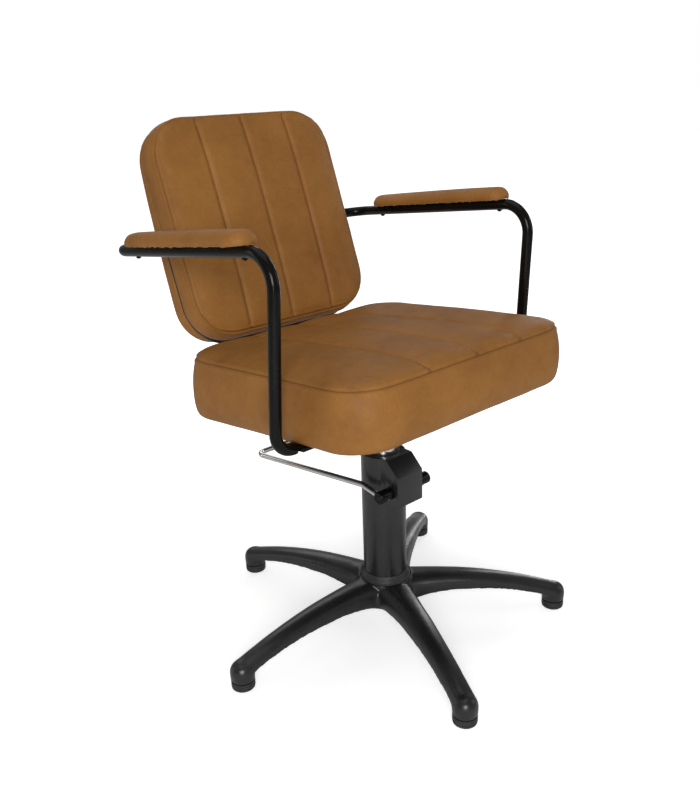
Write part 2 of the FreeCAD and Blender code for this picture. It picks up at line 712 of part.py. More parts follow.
def tee_nut(x, y, z_range):
    """Barrel nut with a flange on its upper face, pressed into a board."""
    flange_r, flange_t = TEE_NUT_FLANGE
    barrel = ring(M8_R, TEE_NUT_R, z_range, x, y)
    return barrel.fuse(ring(M8_R, flange_r, (z_range[1], z_range[1] + flange_t), x, y))


def seat_tee_nuts():
    nuts = [tee_nut(x, y, BOARD_Z) for x, y in PLATE_BOLTS + BRACKET_BOLTS]
    return placed(group(nuts), SEAT_FRAME)


def seat_slab(inset, z_range):
    """Part of the seat's upright plan outline between two planes of the tilted seat."""
    prism = rounded_prism(SEAT_HALF_W - inset, (SEAT_FRONT_Y + inset, SEAT_REAR_Y - inset),
                          SEAT_CORNER_R - inset, (SEAT_BOTTOM_Z - 60, SEAT_BOTTOM_Z + 180))
    layer = placed(box((-300, 300), (-300, 300), z_range), SEAT_FRAME)
    return prism.common(layer)


def seat_height(spot):
    """Height of a point above the seat's tilted underside."""
    return SEAT_FRAME.inverse().multVec(spot).z


def soft_slab(inset, z_range, bottom_r, top_r):
    slab = seat_slab(inset, z_range)
    top = edges_at(slab, lambda spot: seat_height(spot) > z_range[1] - 0.1)
    slab = slab.makeFillet(top_r, top)
    bottom = edges_at(slab, lambda spot: seat_height(spot) < z_range[0] + 0.1)
    return slab.makeFillet(bottom_r, bottom)


def seat_cover():
    """Leather cover: wraps the foam and turns in under the board."""
    outer = soft_slab(0, (0, SEAT_THICKNESS), 14, 30)
    inner = soft_slab(LEATHER_T, (LEATHER_T, SEAT_THICKNESS - LEATHER_T), 11, 27)
    return outer.cut(inner).cut(seat_slab(25, (-1, 6)))


def seat_foam():
    return soft_slab(5, (BOARD_Z[1] + 3, SEAT_THICKNESS - 5), 6, 25)


def seat_board():
    board = seat_slab(16, BOARD_Z)
    for x, y in PLATE_BOLTS + BRACKET_BOLTS:
        board = board.cut(placed(disc(TEE_NUT_R, BOARD_Z, x, y), SEAT_FRAME))
    return board


def seat_dust_cloth():
    cloth = seat_slab(27, CLOTH_Z)
    for x, y in PLATE_BOLTS + BRACKET_BOLTS:
        cloth = cloth.cut(placed(disc(M8_R + 0.5, CLOTH_Z, x, y), SEAT_FRAME))
    return cloth


# ---- Arm frame ---------------------------------------------------------------

PAD_SCREWS_Y = (-21.5, 266.5)
PAD_BOARD_T = 4.0
PAD_T = 15.5
PAD_SCREW_R = 2.0
BRACKET_INNER_X = 148.0
BRACKET_CORNER_R = 12.0
BRACKET_HALF_L = 20.0
BRACKET_OUTER_X = 242.0    # where the tube's turned-in end meets its bracket


def arm_frame_path():
    """Half of the frame from under the seat, mirrored to the other side."""
    fall = math.tan(math.radians(ARM_RAIL_TILT_DEG))
    crest_z = (rail_height(POST_FOOT_Y) - fall * POST_LEAN * POST_FOOT_Z) / (1 - fall * POST_LEAN)
    crest_y = POST_FOOT_Y - POST_LEAN * (crest_z - POST_FOOT_Z)
    half = [point(POST_FOOT_X, POST_FOOT_Y, POST_FOOT_Z),
            point(ARM_X, crest_y, crest_z),
            point(ARM_X, ARM_CROSS_Y, rail_height(ARM_CROSS_Y))]
    mirrored = [point(-corner.x, corner.y, corner.z) for corner in reversed(half)]
    ends = [point(side * BRACKET_OUTER_X, POST_FOOT_Y, POST_FOOT_Z) for side in (1, -1)]
    return ends[:1] + half + mirrored + ends[1:]


def mixed_path(corners, radii):
    """Like bent_path, with its own bend radius at each inner corner."""
    edges = []
    start = corners[0]
    for before, corner, after, bend_r in zip(corners, corners[1:], corners[2:], radii):
        piece = bent_path([before, corner, after], bend_r).OrderedEdges
        entry = piece[0].valueAt(piece[0].LastParameter)
        if (entry - start).Length > 0.01:
            edges.append(line(start, entry))
        edges.append(piece[1])
        start = piece[2].valueAt(piece[2].FirstParameter)
    edges.append(line(start, corners[-1]))
    return Part.Wire(edges)


def arm_frame():
    """One continuous bent tube: both armrests and the cross tube behind the back cushion."""
    foot_bend, crest_bend, rear_bend = 31.0, 45.0, 40.0
    radii = [foot_bend, crest_bend, rear_bend, rear_bend, crest_bend, foot_bend]
    path = mixed_path(arm_frame_path(), radii)
    tube = swept_rod(path, ARM_TUBE_R).cut(swept_rod(path, ARM_TUBE_R - ARM_TUBE_WALL))
    for side in (-1, 1):
        for y in PAD_SCREWS_Y:
            hole = disc(PAD_SCREW_R + 0.1, (-ARM_TUBE_R - 2, ARM_TUBE_R + 2), 0, y)
            tube = tube.cut(placed(hole, rail_frame(side)))
    for x in BACK_BOLTS_X:
        tube = tube.cut(placed(back_bolt_hole(x), BACK_FRAME))
    return tube


def arm_bracket(side):
    """Flat foot on the tube's lower end, bolted up into the seat board."""
    x_range = sorted((side * BRACKET_INNER_X, side * BRACKET_OUTER_X))
    y_range = (POST_FOOT_Y - BRACKET_HALF_L, POST_FOOT_Y + BRACKET_HALF_L)
    plate = box(x_range, y_range, BRACKET_Z)
    upright = edges_at(plate, lambda spot: abs(spot.x - side * BRACKET_INNER_X) < 0.1
                       and BRACKET_Z[0] + 0.1 < spot.z < BRACKET_Z[1] - 0.1)
    plate = plate.makeFillet(BRACKET_CORNER_R, upright)
    for x, y in BRACKET_BOLTS:
        plate = plate.cut(disc(M8_HOLE_R, BRACKET_Z, x, y))
    return placed(plate, SEAT_FRAME)


def left_arm_bracket():
    return arm_bracket(1)


def right_arm_bracket():
    return arm_bracket(-1)


def arm_bracket_bolts():
    return seat_bolts(BRACKET_BOLTS, BRACKET_Z[0])


def pad_outline(inset, z_range):
    middle = 0.5 * (PAD_FRONT_Y + PAD_REAR_Y)
    half_l = 0.5 * (PAD_REAR_Y - PAD_FRONT_Y) - inset
    half_w = 0.5 * PAD_W - inset
    return rounded_prism(half_w, (middle - half_l, middle + half_l), half_w - 1, z_range)


def arm_board(side):
    """Plywood strip under the pad, seated on the tube and screwed through it."""
    z_range = (ARM_TUBE_R, ARM_TUBE_R + PAD_BOARD_T)
    board = pad_outline(4, z_range)
    for y in PAD_SCREWS_Y:
        board = board.cut(disc(PAD_SCREW_R, (z_range[0], z_range[1] - 1), 0, y))
    return placed(board, rail_frame(side))


def arm_pad(side):
    """Leather-covered foam cap that fits over the arm board."""
    pad = pad_outline(0, (ARM_TUBE_R + 1.5, ARM_TUBE_R + PAD_T))
    top = edges_at(pad, lambda spot: spot.z > ARM_TUBE_R + PAD_T - 0.1)
    pad = pad.makeFillet(9, top)
    pad = pad.cut(pad_outline(3.5, (ARM_TUBE_R, ARM_TUBE_R + PAD_BOARD_T + 0.2)))
    return placed(pad, rail_frame(side))


def left_arm_board():
    return arm_board(1)


def right_arm_board():
    return arm_board(-1)


def left_arm_pad():
    return arm_pad(1)


def right_arm_pad():
    return arm_pad(-1)


def arm_pad_screws():
    screws = []
    head_r, head_h = 4.6, 3.2
    for side in (-1, 1):
        for y in PAD_SCREWS_Y:
            screw = dome_screw(PAD_SCREW_R, head_r, head_h, -ARM_TUBE_R - RUNNING_GAP,
                               ARM_TUBE_R + PAD_BOARD_T - 1.5, 0, y)
            screws.append(placed(screw, rail_frame(side)))
    return group(screws)


# ---- Backrest ----------------------------------------------------------------
# Built upright in its own frame: x across, y rearwards from the front seam, z up.

BACK_BOARD_Y = (BACK_FRONT_T - 14.0, BACK_FRONT_T - 2.0)
CROSS_TUBE = BACK_FRAME.inverse().multVec(point(0, ARM_CROSS_Y, rail_height(ARM_CROSS_Y)))
CROSS_TUBE_Y = CROSS_TUBE.y
CROSS_TUBE_V = CROSS_TUBE.z
REAR_SKIN_T = 2.0
REAR_RIM_R = 6.0           # rounding of the rear panel's outer rim
PANEL_RIM_W = 16.0         # width of the solid rim of the stiff backing
CLIPS_AT = 110.0           # clips sit this far from the middle, both ways
BACK_BOLT_R = 3.0
BACK_BOLTS_X = (-106.0, -70.0, 70.0, 106.0)
REAR_START = BACK_FRONT_T + 3.5


def back_bolt_hole(x):
    """Hole from the rear through the cross tube."""
    return Part.makeCylinder(BACK_BOLT_R + 0.1, 40, point(x, CROSS_TUBE_Y - 20, CROSS_TUBE_V),
                             Y_AXIS)


def back_slab(inset, y_range, corner_r=BACK_CORNER_R):
    block = box((-BACK_HALF_W + inset, BACK_HALF_W - inset), y_range,
                (-BACK_HALF_H + inset, BACK_HALF_H - inset))
    corners = [edge for edge in block.Edges
               if abs(edge.tangentAt(edge.FirstParameter).y) > 0.99]
    return block.makeFillet(corner_r - inset, corners)


def back_cover():
    """Leather of the front cushion: a shell open at the rear."""
    outer = back_slab(0, (-BACK_CROWN, BACK_FRONT_T))
    outer = outer.makeFillet(12, edges_at(outer, lambda spot: spot.y < -BACK_CROWN + 0.1))
    inner = back_slab(LEATHER_T, (-BACK_CROWN + LEATHER_T, BACK_FRONT_T))
    inner = inner.makeFillet(9, edges_at(inner, lambda spot: spot.y < -BACK_CROWN + LEATHER_T + 0.1))
    return placed(outer.cut(inner), BACK_FRAME)


def back_foam():
    foam = back_slab(5, (-BACK_CROWN + 5, BACK_BOARD_Y[0] - 1))
    foam = foam.makeFillet(8, edges_at(foam, lambda spot: spot.y < -BACK_CROWN + 5.1))
    return placed(foam, BACK_FRAME)


def back_board():
    board = back_slab(4, BACK_BOARD_Y)
    for x in BACK_BOLTS_X:
        hole = Part.makeCylinder(BACK_BOLT_R, BACK_BOARD_Y[1] - BACK_BOARD_Y[0],
                                 point(x, BACK_BOARD_Y[0], CROSS_TUBE_V), Y_AXIS)
        board = board.cut(hole)
    return placed(board, BACK_FRAME)


def back_spacer():
    """Hardwood packer between the back board and the cross tube."""
    half_l = 130.0
    packer = box((-half_l, half_l), (BACK_BOARD_Y[1], CROSS_TUBE_Y + 4), (-28, 22))
    saddle_r = ARM_TUBE_R + RUNNING_GAP
    saddle_x = (-half_l - 1, half_l + 1)
    packer = packer.cut(cross_disc(saddle_r, saddle_x, CROSS_TUBE_Y, CROSS_TUBE_V))
    packer = packer.cut(box(saddle_x, (CROSS_TUBE_Y, CROSS_TUBE_Y + 5),
                            (CROSS_TUBE_V - saddle_r, CROSS_TUBE_V + saddle_r)))
    for x in BACK_BOLTS_X:
        packer = packer.cut(back_bolt_hole(x))
    return placed(packer, BACK_FRAME)


def back_bolts():
    """Dome-head bolts through the cross tube into the back board."""
    bolts = []
    head_r, head_h = 5.0, 1.8
    for x in BACK_BOLTS_X:
        seat_y = CROSS_TUBE_Y + ARM_TUBE_R
        bolt = dome_screw(BACK_BOLT_R, head_r, head_h, 0, seat_y - BACK_BOARD_Y[0] - 1)
        bolt.rotate(point(0, 0, 0), X_AXIS, 90)
        bolt.translate(point(x, seat_y, CROSS_TUBE_V))
        bolts.append(placed(bolt, BACK_FRAME))
    return group(bolts)


def rear_half_space(skin):
    """Block in front of the rear panel's bowed skin, inset by the skin's thickness."""
    x = -BACK_HALF_W - 20
    bottom = point(x, REAR_BOTTOM_T - skin, -BACK_HALF_H)
    middle = point(x, REAR_MIDDLE_T - skin, 0)
    top = point(x, REAR_TOP_T - skin, BACK_HALF_H)
    front = [point(x, -50, BACK_HALF_H), point(x, -50, -BACK_HALF_H)]
    outline = [arc(bottom, middle, top), line(top, front[0]), line(front[0], front[1]),
               line(front[1], bottom)]
    return Part.Face(Part.Wire(outline)).extrude(point(-2 * x, 0, 0))


def rear_slab(inset, front_y, skin):
    block = back_slab(inset, (front_y, REAR_BOTTOM_T + 20), REAR_CORNER_R)
    return block.common(rear_half_space(skin))


def tube_channel(grow, far_y):
    """Space for the cross tube and its bends where they pass into the rear panel."""
    low = CROSS_TUBE_V - ARM_TUBE_R - grow
    high = CROSS_TUBE_V + ARM_TUBE_R + grow
    return box((-ARM_X, ARM_X), (0, far_y), (low, high))


def rear_cover():
    """Leather of the rear panel: a shell open at the front."""
    outer = rear_slab(0, REAR_START, 0)
    rim = edges_at(outer, lambda spot: spot.y > REAR_START + 1
                   and not rear_half_space(1.0).isInside(spot, 0.01, True))
    outer = outer.makeFillet(REAR_RIM_R, rim)
    inner = rear_slab(REAR_SKIN_T, REAR_START, REAR_SKIN_T)
    shell = outer.cut(inner)
    side_slots = tube_channel(2, CROSS_TUBE_Y + ARM_TUBE_R + 1)
    return placed(shell.cut(side_slots), BACK_FRAME)


def rear_panel():
    """Stiff backing of the rear cover, with a channel over the cross tube."""
    panel = rear_slab(REAR_SKIN_T + 0.3, REAR_START, REAR_SKIN_T + 0.3)
    hollow = rear_slab(PANEL_RIM_W, REAR_START, REAR_SKIN_T + 3.5)
    panel = panel.cut(hollow)
    panel = panel.cut(tube_channel(2, CROSS_TUBE_Y + ARM_TUBE_R + 1))
    for x in BACK_BOLTS_X:
        panel = panel.cut(Part.makeCylinder(6.0, 40, point(x, CROSS_TUBE_Y, CROSS_TUBE_V), Y_AXIS))
    return placed(panel, BACK_FRAME)


def back_trim():
    """Black edging strip in the joint between the front cushion and the rear panel."""
    outer = back_slab(4, (BACK_FRONT_T, REAR_START))
    inner = back_slab(14, (BACK_FRONT_T, REAR_START))
    strip = outer.cut(inner).cut(tube_channel(2, REAR_START))
    return placed(strip, BACK_FRAME)


def rear_depth(v):
    """Depth of the rear panel's bowed skin behind the front seam, at height v."""
    rise = (REAR_TOP_T - REAR_BOTTOM_T) / (2 * BACK_HALF_H)
    bow = (0.5 * (REAR_TOP_T + REAR_BOTTOM_T) - REAR_MIDDLE_T) / BACK_HALF_H ** 2
    return REAR_MIDDLE_T + rise * v + bow * v ** 2


def rear_panel_clips():
    """Spring clips that hold the rear panel to the back board."""
    clips = []
    foot_y = BACK_BOARD_Y[1]
    for x in (-CLIPS_AT, CLIPS_AT):
        for v in (-CLIPS_AT, CLIPS_AT):
            foot = box((x - 10, x + 10), (foot_y, foot_y + 1.5), (v - 6, v + 6))
            blade = box((x - 5, x + 5), (foot_y, rear_depth(v) - REAR_SKIN_T - 4), (v - 1, v + 1))
            clips.append(foot.fuse(blade).removeSplitter())
    return placed(group(clips), BACK_FRAME)


# ---- Export ------------------------------------------------------------------

PIECES = [
    base_star, floor_glides, column_collar, column_tube, base_plug, base_washer, base_bolt,
    foot_valve, check_balls, pressure_cylinder, pump_head, pump_cover, pump_cover_screws,
    ram_guide_bush, wiper_seal, shaft_bushes, plunger_spring,
    pump_plunger,
    lever_shaft, pump_cam, lever_bosses, lever_set_screws, foot_bar,
    piston_head, piston_seal, thrust_washer,
    ram, seat_mount, seat_plate_bolts, seat_tee_nuts, seat_board, seat_foam, seat_cover,
    seat_dust_cloth,
    arm_frame, left_arm_bracket, right_arm_bracket, arm_bracket_bolts,
    left_arm_board, right_arm_board, left_arm_pad, right_arm_pad, arm_pad_screws,
    back_cover, back_foam, back_board, back_spacer, back_bolts,
    rear_cover, rear_panel, back_trim, rear_panel_clips,
]


def box_middle(shapes):
    """Middle of the overall box, on the floor, rounded to whole millimetres."""
    use_triangles, add_tolerance = False, False
    middle = group(shapes).optimalBoundingBox(use_triangles, add_tolerance).Center
    return point(round(middle.x), round(middle.y), 0)


shapes = {build.__name__: build() for build in PIECES}
to_origin = box_middle(shapes.values()).negative()
os.makedirs("parts", exist_ok=True)
for name, shape in shapes.items():
    shape.translate(to_origin)
    shape.exportStep(os.path.join("parts", name + ".step"))
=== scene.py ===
import copy
import json
import math

import bmesh
import bpy
import numpy as np
from mathutils import Matrix, Vector, noise


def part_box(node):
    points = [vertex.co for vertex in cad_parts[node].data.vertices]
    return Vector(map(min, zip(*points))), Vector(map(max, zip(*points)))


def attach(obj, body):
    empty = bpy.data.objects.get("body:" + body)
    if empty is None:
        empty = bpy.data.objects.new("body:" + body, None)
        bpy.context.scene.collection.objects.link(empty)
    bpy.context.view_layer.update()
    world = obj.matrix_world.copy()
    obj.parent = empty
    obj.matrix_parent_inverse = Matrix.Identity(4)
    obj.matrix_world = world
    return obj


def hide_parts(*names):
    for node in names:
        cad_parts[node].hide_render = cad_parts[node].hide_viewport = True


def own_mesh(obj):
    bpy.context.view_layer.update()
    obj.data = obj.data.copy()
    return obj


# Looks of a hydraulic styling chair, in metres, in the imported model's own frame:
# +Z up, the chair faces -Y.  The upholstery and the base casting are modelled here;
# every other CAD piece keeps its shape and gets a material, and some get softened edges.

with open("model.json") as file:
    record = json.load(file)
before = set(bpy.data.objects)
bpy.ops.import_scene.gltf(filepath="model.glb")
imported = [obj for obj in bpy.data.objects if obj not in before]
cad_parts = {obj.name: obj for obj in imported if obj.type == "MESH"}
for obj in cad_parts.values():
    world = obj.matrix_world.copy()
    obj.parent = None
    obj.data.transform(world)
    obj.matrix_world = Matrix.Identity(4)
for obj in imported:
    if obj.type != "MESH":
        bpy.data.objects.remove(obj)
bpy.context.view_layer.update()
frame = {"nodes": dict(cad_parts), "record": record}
nodes = frame["nodes"]
scene = bpy.context.scene

MM = 0.001
SEAT_TILT = math.radians(6.0)
BACK_TILT = math.radians(19.4)
RAIL_TILT = math.radians(6.4)


# ---- Places taken from the CAD frame -----------------------------------------

def column_foot():
    """Point on the floor under the column's axis: the chair is modelled around it."""
    low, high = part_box("column_tube")
    return Vector((0.5 * (low.x + high.x), 0.5 * (low.y + high.y), 0.0))


COLUMN = column_foot()


def turned_axes(tilt):
    """Rotation that takes a part built upright to its rearward tilt on the chair."""
    return Matrix.Rotation(-tilt, 3, "X")


def tilted_box(node, tilt):
    """Lowest and highest corner of a node, measured along its own tilted axes."""
    upright = turned_axes(tilt).transposed()
    corners = np.array([upright @ (v.co - COLUMN) for v in nodes[node].data.vertices])
    return Vector(corners.min(axis=0)), Vector(corners.max(axis=0))


# ---- Upholstery meshes -------------------------------------------------------
# A cushion is one closed mesh of quads: a face panel on a rounded rectangle, a side
# band that follows the panel's edge, and a flat floor.  Grid lines lie on the seams.

CORNER = math.radians(45)


def half_lines(half, corner_r, seams, cell):
    """Grid lines from the middle outwards, as (straight offset, share of corner strip)."""
    lines = []
    knots = [0.0] + [seam for seam in seams if seam > 0] + [half - corner_r]
    for low, high in zip(knots, knots[1:]):
        count = max(1, round((high - low) / cell))
        lines += [(low + (high - low) * k / count, 0.0) for k in range(count)]
    count = max(3, round(corner_r * CORNER / cell))
    lines += [(half - corner_r, k / count) for k in range(count + 1)]
    return lines


def full_lines(half, corner_r, seams, cell):
    """The same lines on both sides of the middle, as (sign, offset, share)."""
    outer = half_lines(half, corner_r, seams, cell)
    left = [(-1, offset, share) for offset, share in reversed(outer[1:])]
    return left + [(1, offset, share) for offset, share in outer]


def strip(share, other, corner_r):
    """Reach of a grid line into the corner strip, bent so that the rim is a true arc."""
    return corner_r * math.sin(CORNER * share) / math.sin(CORNER) * math.cos(CORNER * other)


class Panel:
    """Rounded-rectangle grid with the outward direction and seam flag of each vertex."""

    def __init__(self, half_x, half_y, corner_r, seams, cell):
        self.half = (half_x, half_y)
        self.corner_r = corner_r
        columns = full_lines(half_x, corner_r, seams, cell)
        rows = full_lines(half_y, corner_r, [], cell)
        self.shape = (len(columns), len(rows))
        self.spots = []
        self.lines = []
        self.seam = []
        for sign_y, straight_y, share_y in rows:
            for sign_x, straight_x, share_x in columns:
                x = sign_x * (straight_x + strip(share_x, share_y, corner_r))
                y = sign_y * (straight_y + strip(share_y, share_x, corner_r))
                self.spots.append((x, y))
                self.lines.append((sign_x, straight_x, share_x, sign_y, straight_y, share_y))
                on_seam = any(abs(abs(x) - seam) < 1e-6 for seam in seams) and share_x == 0
                self.seam.append(1.0 if on_seam else 0.0)
        self.rim = self.rim_order()

    def index(self, column, row):
        return row * self.shape[0] + column

    def rim_order(self):
        last_column = self.shape[0] - 1
        last_row = self.shape[1] - 1
        front = [self.index(i, 0) for i in range(last_column)]
        right = [self.index(last_column, j) for j in range(last_row)]
        rear = [self.index(i, last_row) for i in range(last_column, 0, -1)]
        left = [self.index(0, j) for j in range(last_row, 0, -1)]
        return front + right + rear + left

    def rim_spot(self, vertex, outset, corner_r):
        """Where a rim vertex goes when the outline grows and takes another corner radius."""
        sign_x, straight_x, share_x, sign_y, straight_y, share_y = self.lines[vertex]
        half_x, half_y = self.half
        stretch_x = (half_x + outset - corner_r) / (half_x - self.corner_r)
        stretch_y = (half_y + outset - corner_r) / (half_y - self.corner_r)
        return (sign_x * (straight_x * stretch_x + strip(share_x, share_y, corner_r)),
                sign_y * (straight_y * stretch_y + strip(share_y, share_x, corner_r)))

    def resized(self, outset, corner_r):
        """The same grid on a larger or smaller outline, without seams."""
        twin = copy.copy(self)
        twin.spots = [self.rim_spot(k, outset, corner_r) for k in range(len(self.spots))]
        stretch_x = (self.half[0] + outset - corner_r) / (self.half[0] - self.corner_r)
        stretch_y = (self.half[1] + outset - corner_r) / (self.half[1] - self.corner_r)
        twin.lines = [(sign_x, straight_x * stretch_x, share_x,
                       sign_y, straight_y * stretch_y, share_y)
                      for sign_x, straight_x, share_x, sign_y, straight_y, share_y
                      in self.lines]
        twin.half = (self.half[0] + outset, self.half[1] + outset)
        twin.corner_r = corner_r
        twin.seam = [0.0] * len(self.spots)
        return twin

    def faces(self):
        quads = []
        for j in range(self.shape[1] - 1):
            for i in range(self.shape[0] - 1):
                quads.append((self.index(i, j), self.index(i + 1, j),
                              self.index(i + 1, j + 1), self.index(i, j + 1)))
        return quads


def inside_distance(panel, x, y):
    """How far a point of a panel lies inside its rounded outline."""
    over_x = abs(x) - (panel.half[0] - panel.corner_r)
    over_y = abs(y) - (panel.half[1] - panel.corner_r)
    outside = math.hypot(max(over_x, 0), max(over_y, 0)) + min(max(over_x, over_y), 0)
    return panel.corner_r - outside


def rolled_edge(panel, x, y, width):
    """0 on the outline, rising as a quarter round to 1 at some width inside it."""
    short = 1 - min(1.0, max(0.0, inside_distance(panel, x, y)) / width)
    return math.sqrt(1 - short ** 2)


def panel_reach(panel, x, y, squareness):
    """0 in the middle of a panel and 1 on its outline, along rings that grow squarer."""
    half_x, half_y = panel.half
    total = abs(x / half_x) ** squareness + abs(y / half_y) ** squareness
    return min(1.0, total ** (1 / squareness))


def puffed(x, channel, half_x):
    """0 at the sewn channels and 1 midway between them, for channels at 0 and +-channel."""
    offset = abs(x)
    share = offset / channel if offset < channel else (offset - channel) / (half_x - channel)
    return math.sin(math.pi * min(1.0, share))


def at(value, x, y):
    """A ring dimension is either one number or a function of the place on the rim."""
    return value(x, y) if callable(value) else value


class CushionBuild:
    """Points, quads and sewing flags of a cushion while its rings are added."""

    def __init__(self, place):
        self.place = place
        self.points = []
        self.quads = []
        self.seam = []
        self.pinned = []

    def add(self, spot, seam, pinned):
        """Adds a point given as (x, y, height) and returns its number."""
        self.points.append(self.place(*spot) + COLUMN)
        self.seam.append(seam)
        self.pinned.append(pinned)
        return len(self.points) - 1

    def add_ring(self, panel, outset, height, corner_r):
        ring = []
        for vertex in panel.rim:
            x, y = panel.spots[vertex]
            ring_x, ring_y = panel.rim_spot(vertex, at(outset, x, y), corner_r)
            ring.append(self.add((ring_x, ring_y, at(height, x, y)), 0.0, 0.0))
        return ring

    def join(self, upper, lower):
        """Closes the band between two rings of the same length."""
        for k in range(len(upper)):
            after = (k + 1) % len(upper)
            self.quads.append((upper[k], lower[k], lower[after], upper[after]))


def cushion_mesh(name, panel, face_height, band, floor, place, rim_seam=True):
    """Closed cushion.

    face_height(x, y) is the panel's height; band is a list of rings below the rim as
    (outset, height, corner radius); floor is the (inset, height) of the closing panel;
    place turns (x, y, height) into a point on the chair, measured from the column.
    """
    rim = set(panel.rim)
    build = CushionBuild(place)
    for vertex, (x, y) in enumerate(panel.spots):
        sewn = 1.0 if rim_seam and vertex in rim else panel.seam[vertex]
        build.add((x, y, face_height(x, y)), sewn, sewn)
    build.quads += panel.faces()
    ring = panel.rim
    for outset, height, corner_r in band:
        below = build.add_ring(panel, outset, height, corner_r)
        build.join(ring, below)
        ring = below
    inset, floor_height = floor
    shrink_x, shrink_y = [1 - inset / half for half in panel.half]
    first = len(build.points)
    for x, y in panel.spots:
        build.add((x * shrink_x, y * shrink_y, floor_height), 0.0, 1.0)
    build.quads += [tuple(first + v for v in reversed(quad)) for quad in panel.faces()]
    build.join(ring, [first + vertex for vertex in panel.rim])
    for vertex in ring:
        build.pinned[vertex] = 1.0
    channel = [0.0 if vertex in rim else sewn for vertex, sewn in enumerate(panel.seam)]
    channel += [0.0] * (len(build.points) - len(channel))
    mesh = bpy.data.meshes.new(name)
    mesh.from_pydata(build.points, [], build.quads)
    mesh.update()
    add_point_value(mesh, "seam", build.seam)
    add_point_value(mesh, "channel", channel)
    add_point_value(mesh, "pinned", build.pinned)
    return mesh


def add_point_value(mesh, name, values):
    attribute = mesh.attributes.new(name, "FLOAT", "POINT")
    attribute.data.foreach_set("value", np.array(values, np.float32))


def read_point_value(mesh, name):
    values = np.zeros(len(mesh.vertices), np.float32)
    mesh.attributes[name].data.foreach_get("value", values)
    return values


def vertex_array(mesh):
    flat = np.zeros(len(mesh.vertices) * 3, np.float32)
    mesh.vertices.foreach_get("co", flat)
    return flat.reshape(-1, 3)


def set_vertices(mesh, positions):
    mesh.vertices.foreach_set("co", np.asarray(positions, np.float32).ravel())
    mesh.update()


def normal_array(mesh):
    flat = np.zeros(len(mesh.vertices) * 3, np.float32)
    mesh.vertex_normals.foreach_get("vector", flat)
    return flat.reshape(-1, 3)


def new_object(name, mesh):
    made = bpy.data.objects.new(name, mesh)
    scene.collection.objects.link(made)
    return made


def applied(obj):
    """Replaces an object's mesh by the result of its modifiers."""
    bpy.context.view_layer.update()
    evaluated = obj.evaluated_get(bpy.context.evaluated_depsgraph_get())
    mesh = bpy.data.meshes.new_from_object(evaluated, preserve_all_data_layers=True,
                                           depsgraph=bpy.context.evaluated_depsgraph_get())
    obj.modifiers.clear()
    obj.data = mesh
    return obj


def weld_borders(obj):
    """A CAD mesh is split at its face borders; this closes it."""
    weld = obj.modifiers.new("weld", "WELD")
    weld.merge_threshold = 0.01 * MM


SIM_FRAMES = 20


def inflate(obj, pressure, reach):
    """Cloth simulation that swells the leather between its sewn lines.

    Seams and the floor are pinned.  No point moves further than reach from where the
    pattern puts it.
    """
    start = vertex_array(obj.data)
    pins = obj.vertex_groups.new(name="pins")
    pinned = read_point_value(obj.data, "pinned")
    pins.add([int(v) for v in np.nonzero(pinned > 0.5)[0]], 1.0, "REPLACE")
    cloth = obj.modifiers.new("swell", "CLOTH")
    settings = cloth.settings
    settings.quality = 6
    settings.mass = 0.25
    settings.tension_stiffness = 12
    settings.compression_stiffness = 12
    settings.shear_stiffness = 6
    settings.bending_stiffness = 1.5
    settings.use_pressure = True
    settings.uniform_pressure_force = pressure
    settings.vertex_group_mass = "pins"
    settings.effector_weights.gravity = 0
    cloth.collision_settings.use_collision = False
    cloth.point_cache.frame_start = 1
    cloth.point_cache.frame_end = SIM_FRAMES
    for step in range(1, SIM_FRAMES + 1):
        scene.frame_set(step)
    evaluated = obj.evaluated_get(bpy.context.evaluated_depsgraph_get())
    moved = vertex_array(evaluated.data)
    obj.modifiers.clear()
    obj.vertex_groups.clear()
    scene.frame_set(1)
    step = moved - start
    length = np.maximum(np.linalg.norm(step, axis=1, keepdims=True), 1e-9)
    set_vertices(obj.data, start + step / length * reach * np.tanh(length / reach))


def crease_seams(mesh, sharpness):
    """Creases the edges that run along a seam, so that subdivision keeps them."""
    seam = read_point_value(mesh, "seam")
    values = [sharpness if seam[edge.vertices[0]] > 0.5 and seam[edge.vertices[1]] > 0.5
              else 0.0 for edge in mesh.edges]
    crease = mesh.attributes.new("crease_edge", "FLOAT", "EDGE")
    crease.data.foreach_set("value", np.array(values, np.float32))


def refine(obj, levels):
    subdivision = obj.modifiers.new("refine", "SUBSURF")
    subdivision.levels = levels
    subdivision.render_levels = levels
    applied(obj)


RIM_TAPER = 3             # a higher taper makes a sewn groove narrower
FOLD_PLACE = 0.5          # where the folded leather rises, between the seam at 1 and 0
FOLD_WIDTH = 0.22


def sew(obj, channel_depth, channel_taper, rim_depth, ridge):
    """Presses the sewn lines in and raises the folded leather beside the rim's seam."""
    mesh = obj.data
    channel = np.clip(read_point_value(mesh, "channel"), 0, 1)
    rim = np.clip(read_point_value(mesh, "seam") - channel, 0, 1)
    normals = normal_array(mesh)
    groove = channel_depth * channel ** channel_taper
    groove += rim_depth * np.clip((rim - FOLD_PLACE) / (1 - FOLD_PLACE), 0, 1) ** RIM_TAPER
    fold = ridge * np.exp(-((rim - FOLD_PLACE) / FOLD_WIDTH) ** 2)
    set_vertices(mesh, vertex_array(mesh) + normals * (fold - groove)[:, None])


BROAD_WAVES = 11          # spatial frequencies of the unevenness, per metre
LESSER_WAVES = 27
GATHER_WAVES = 95


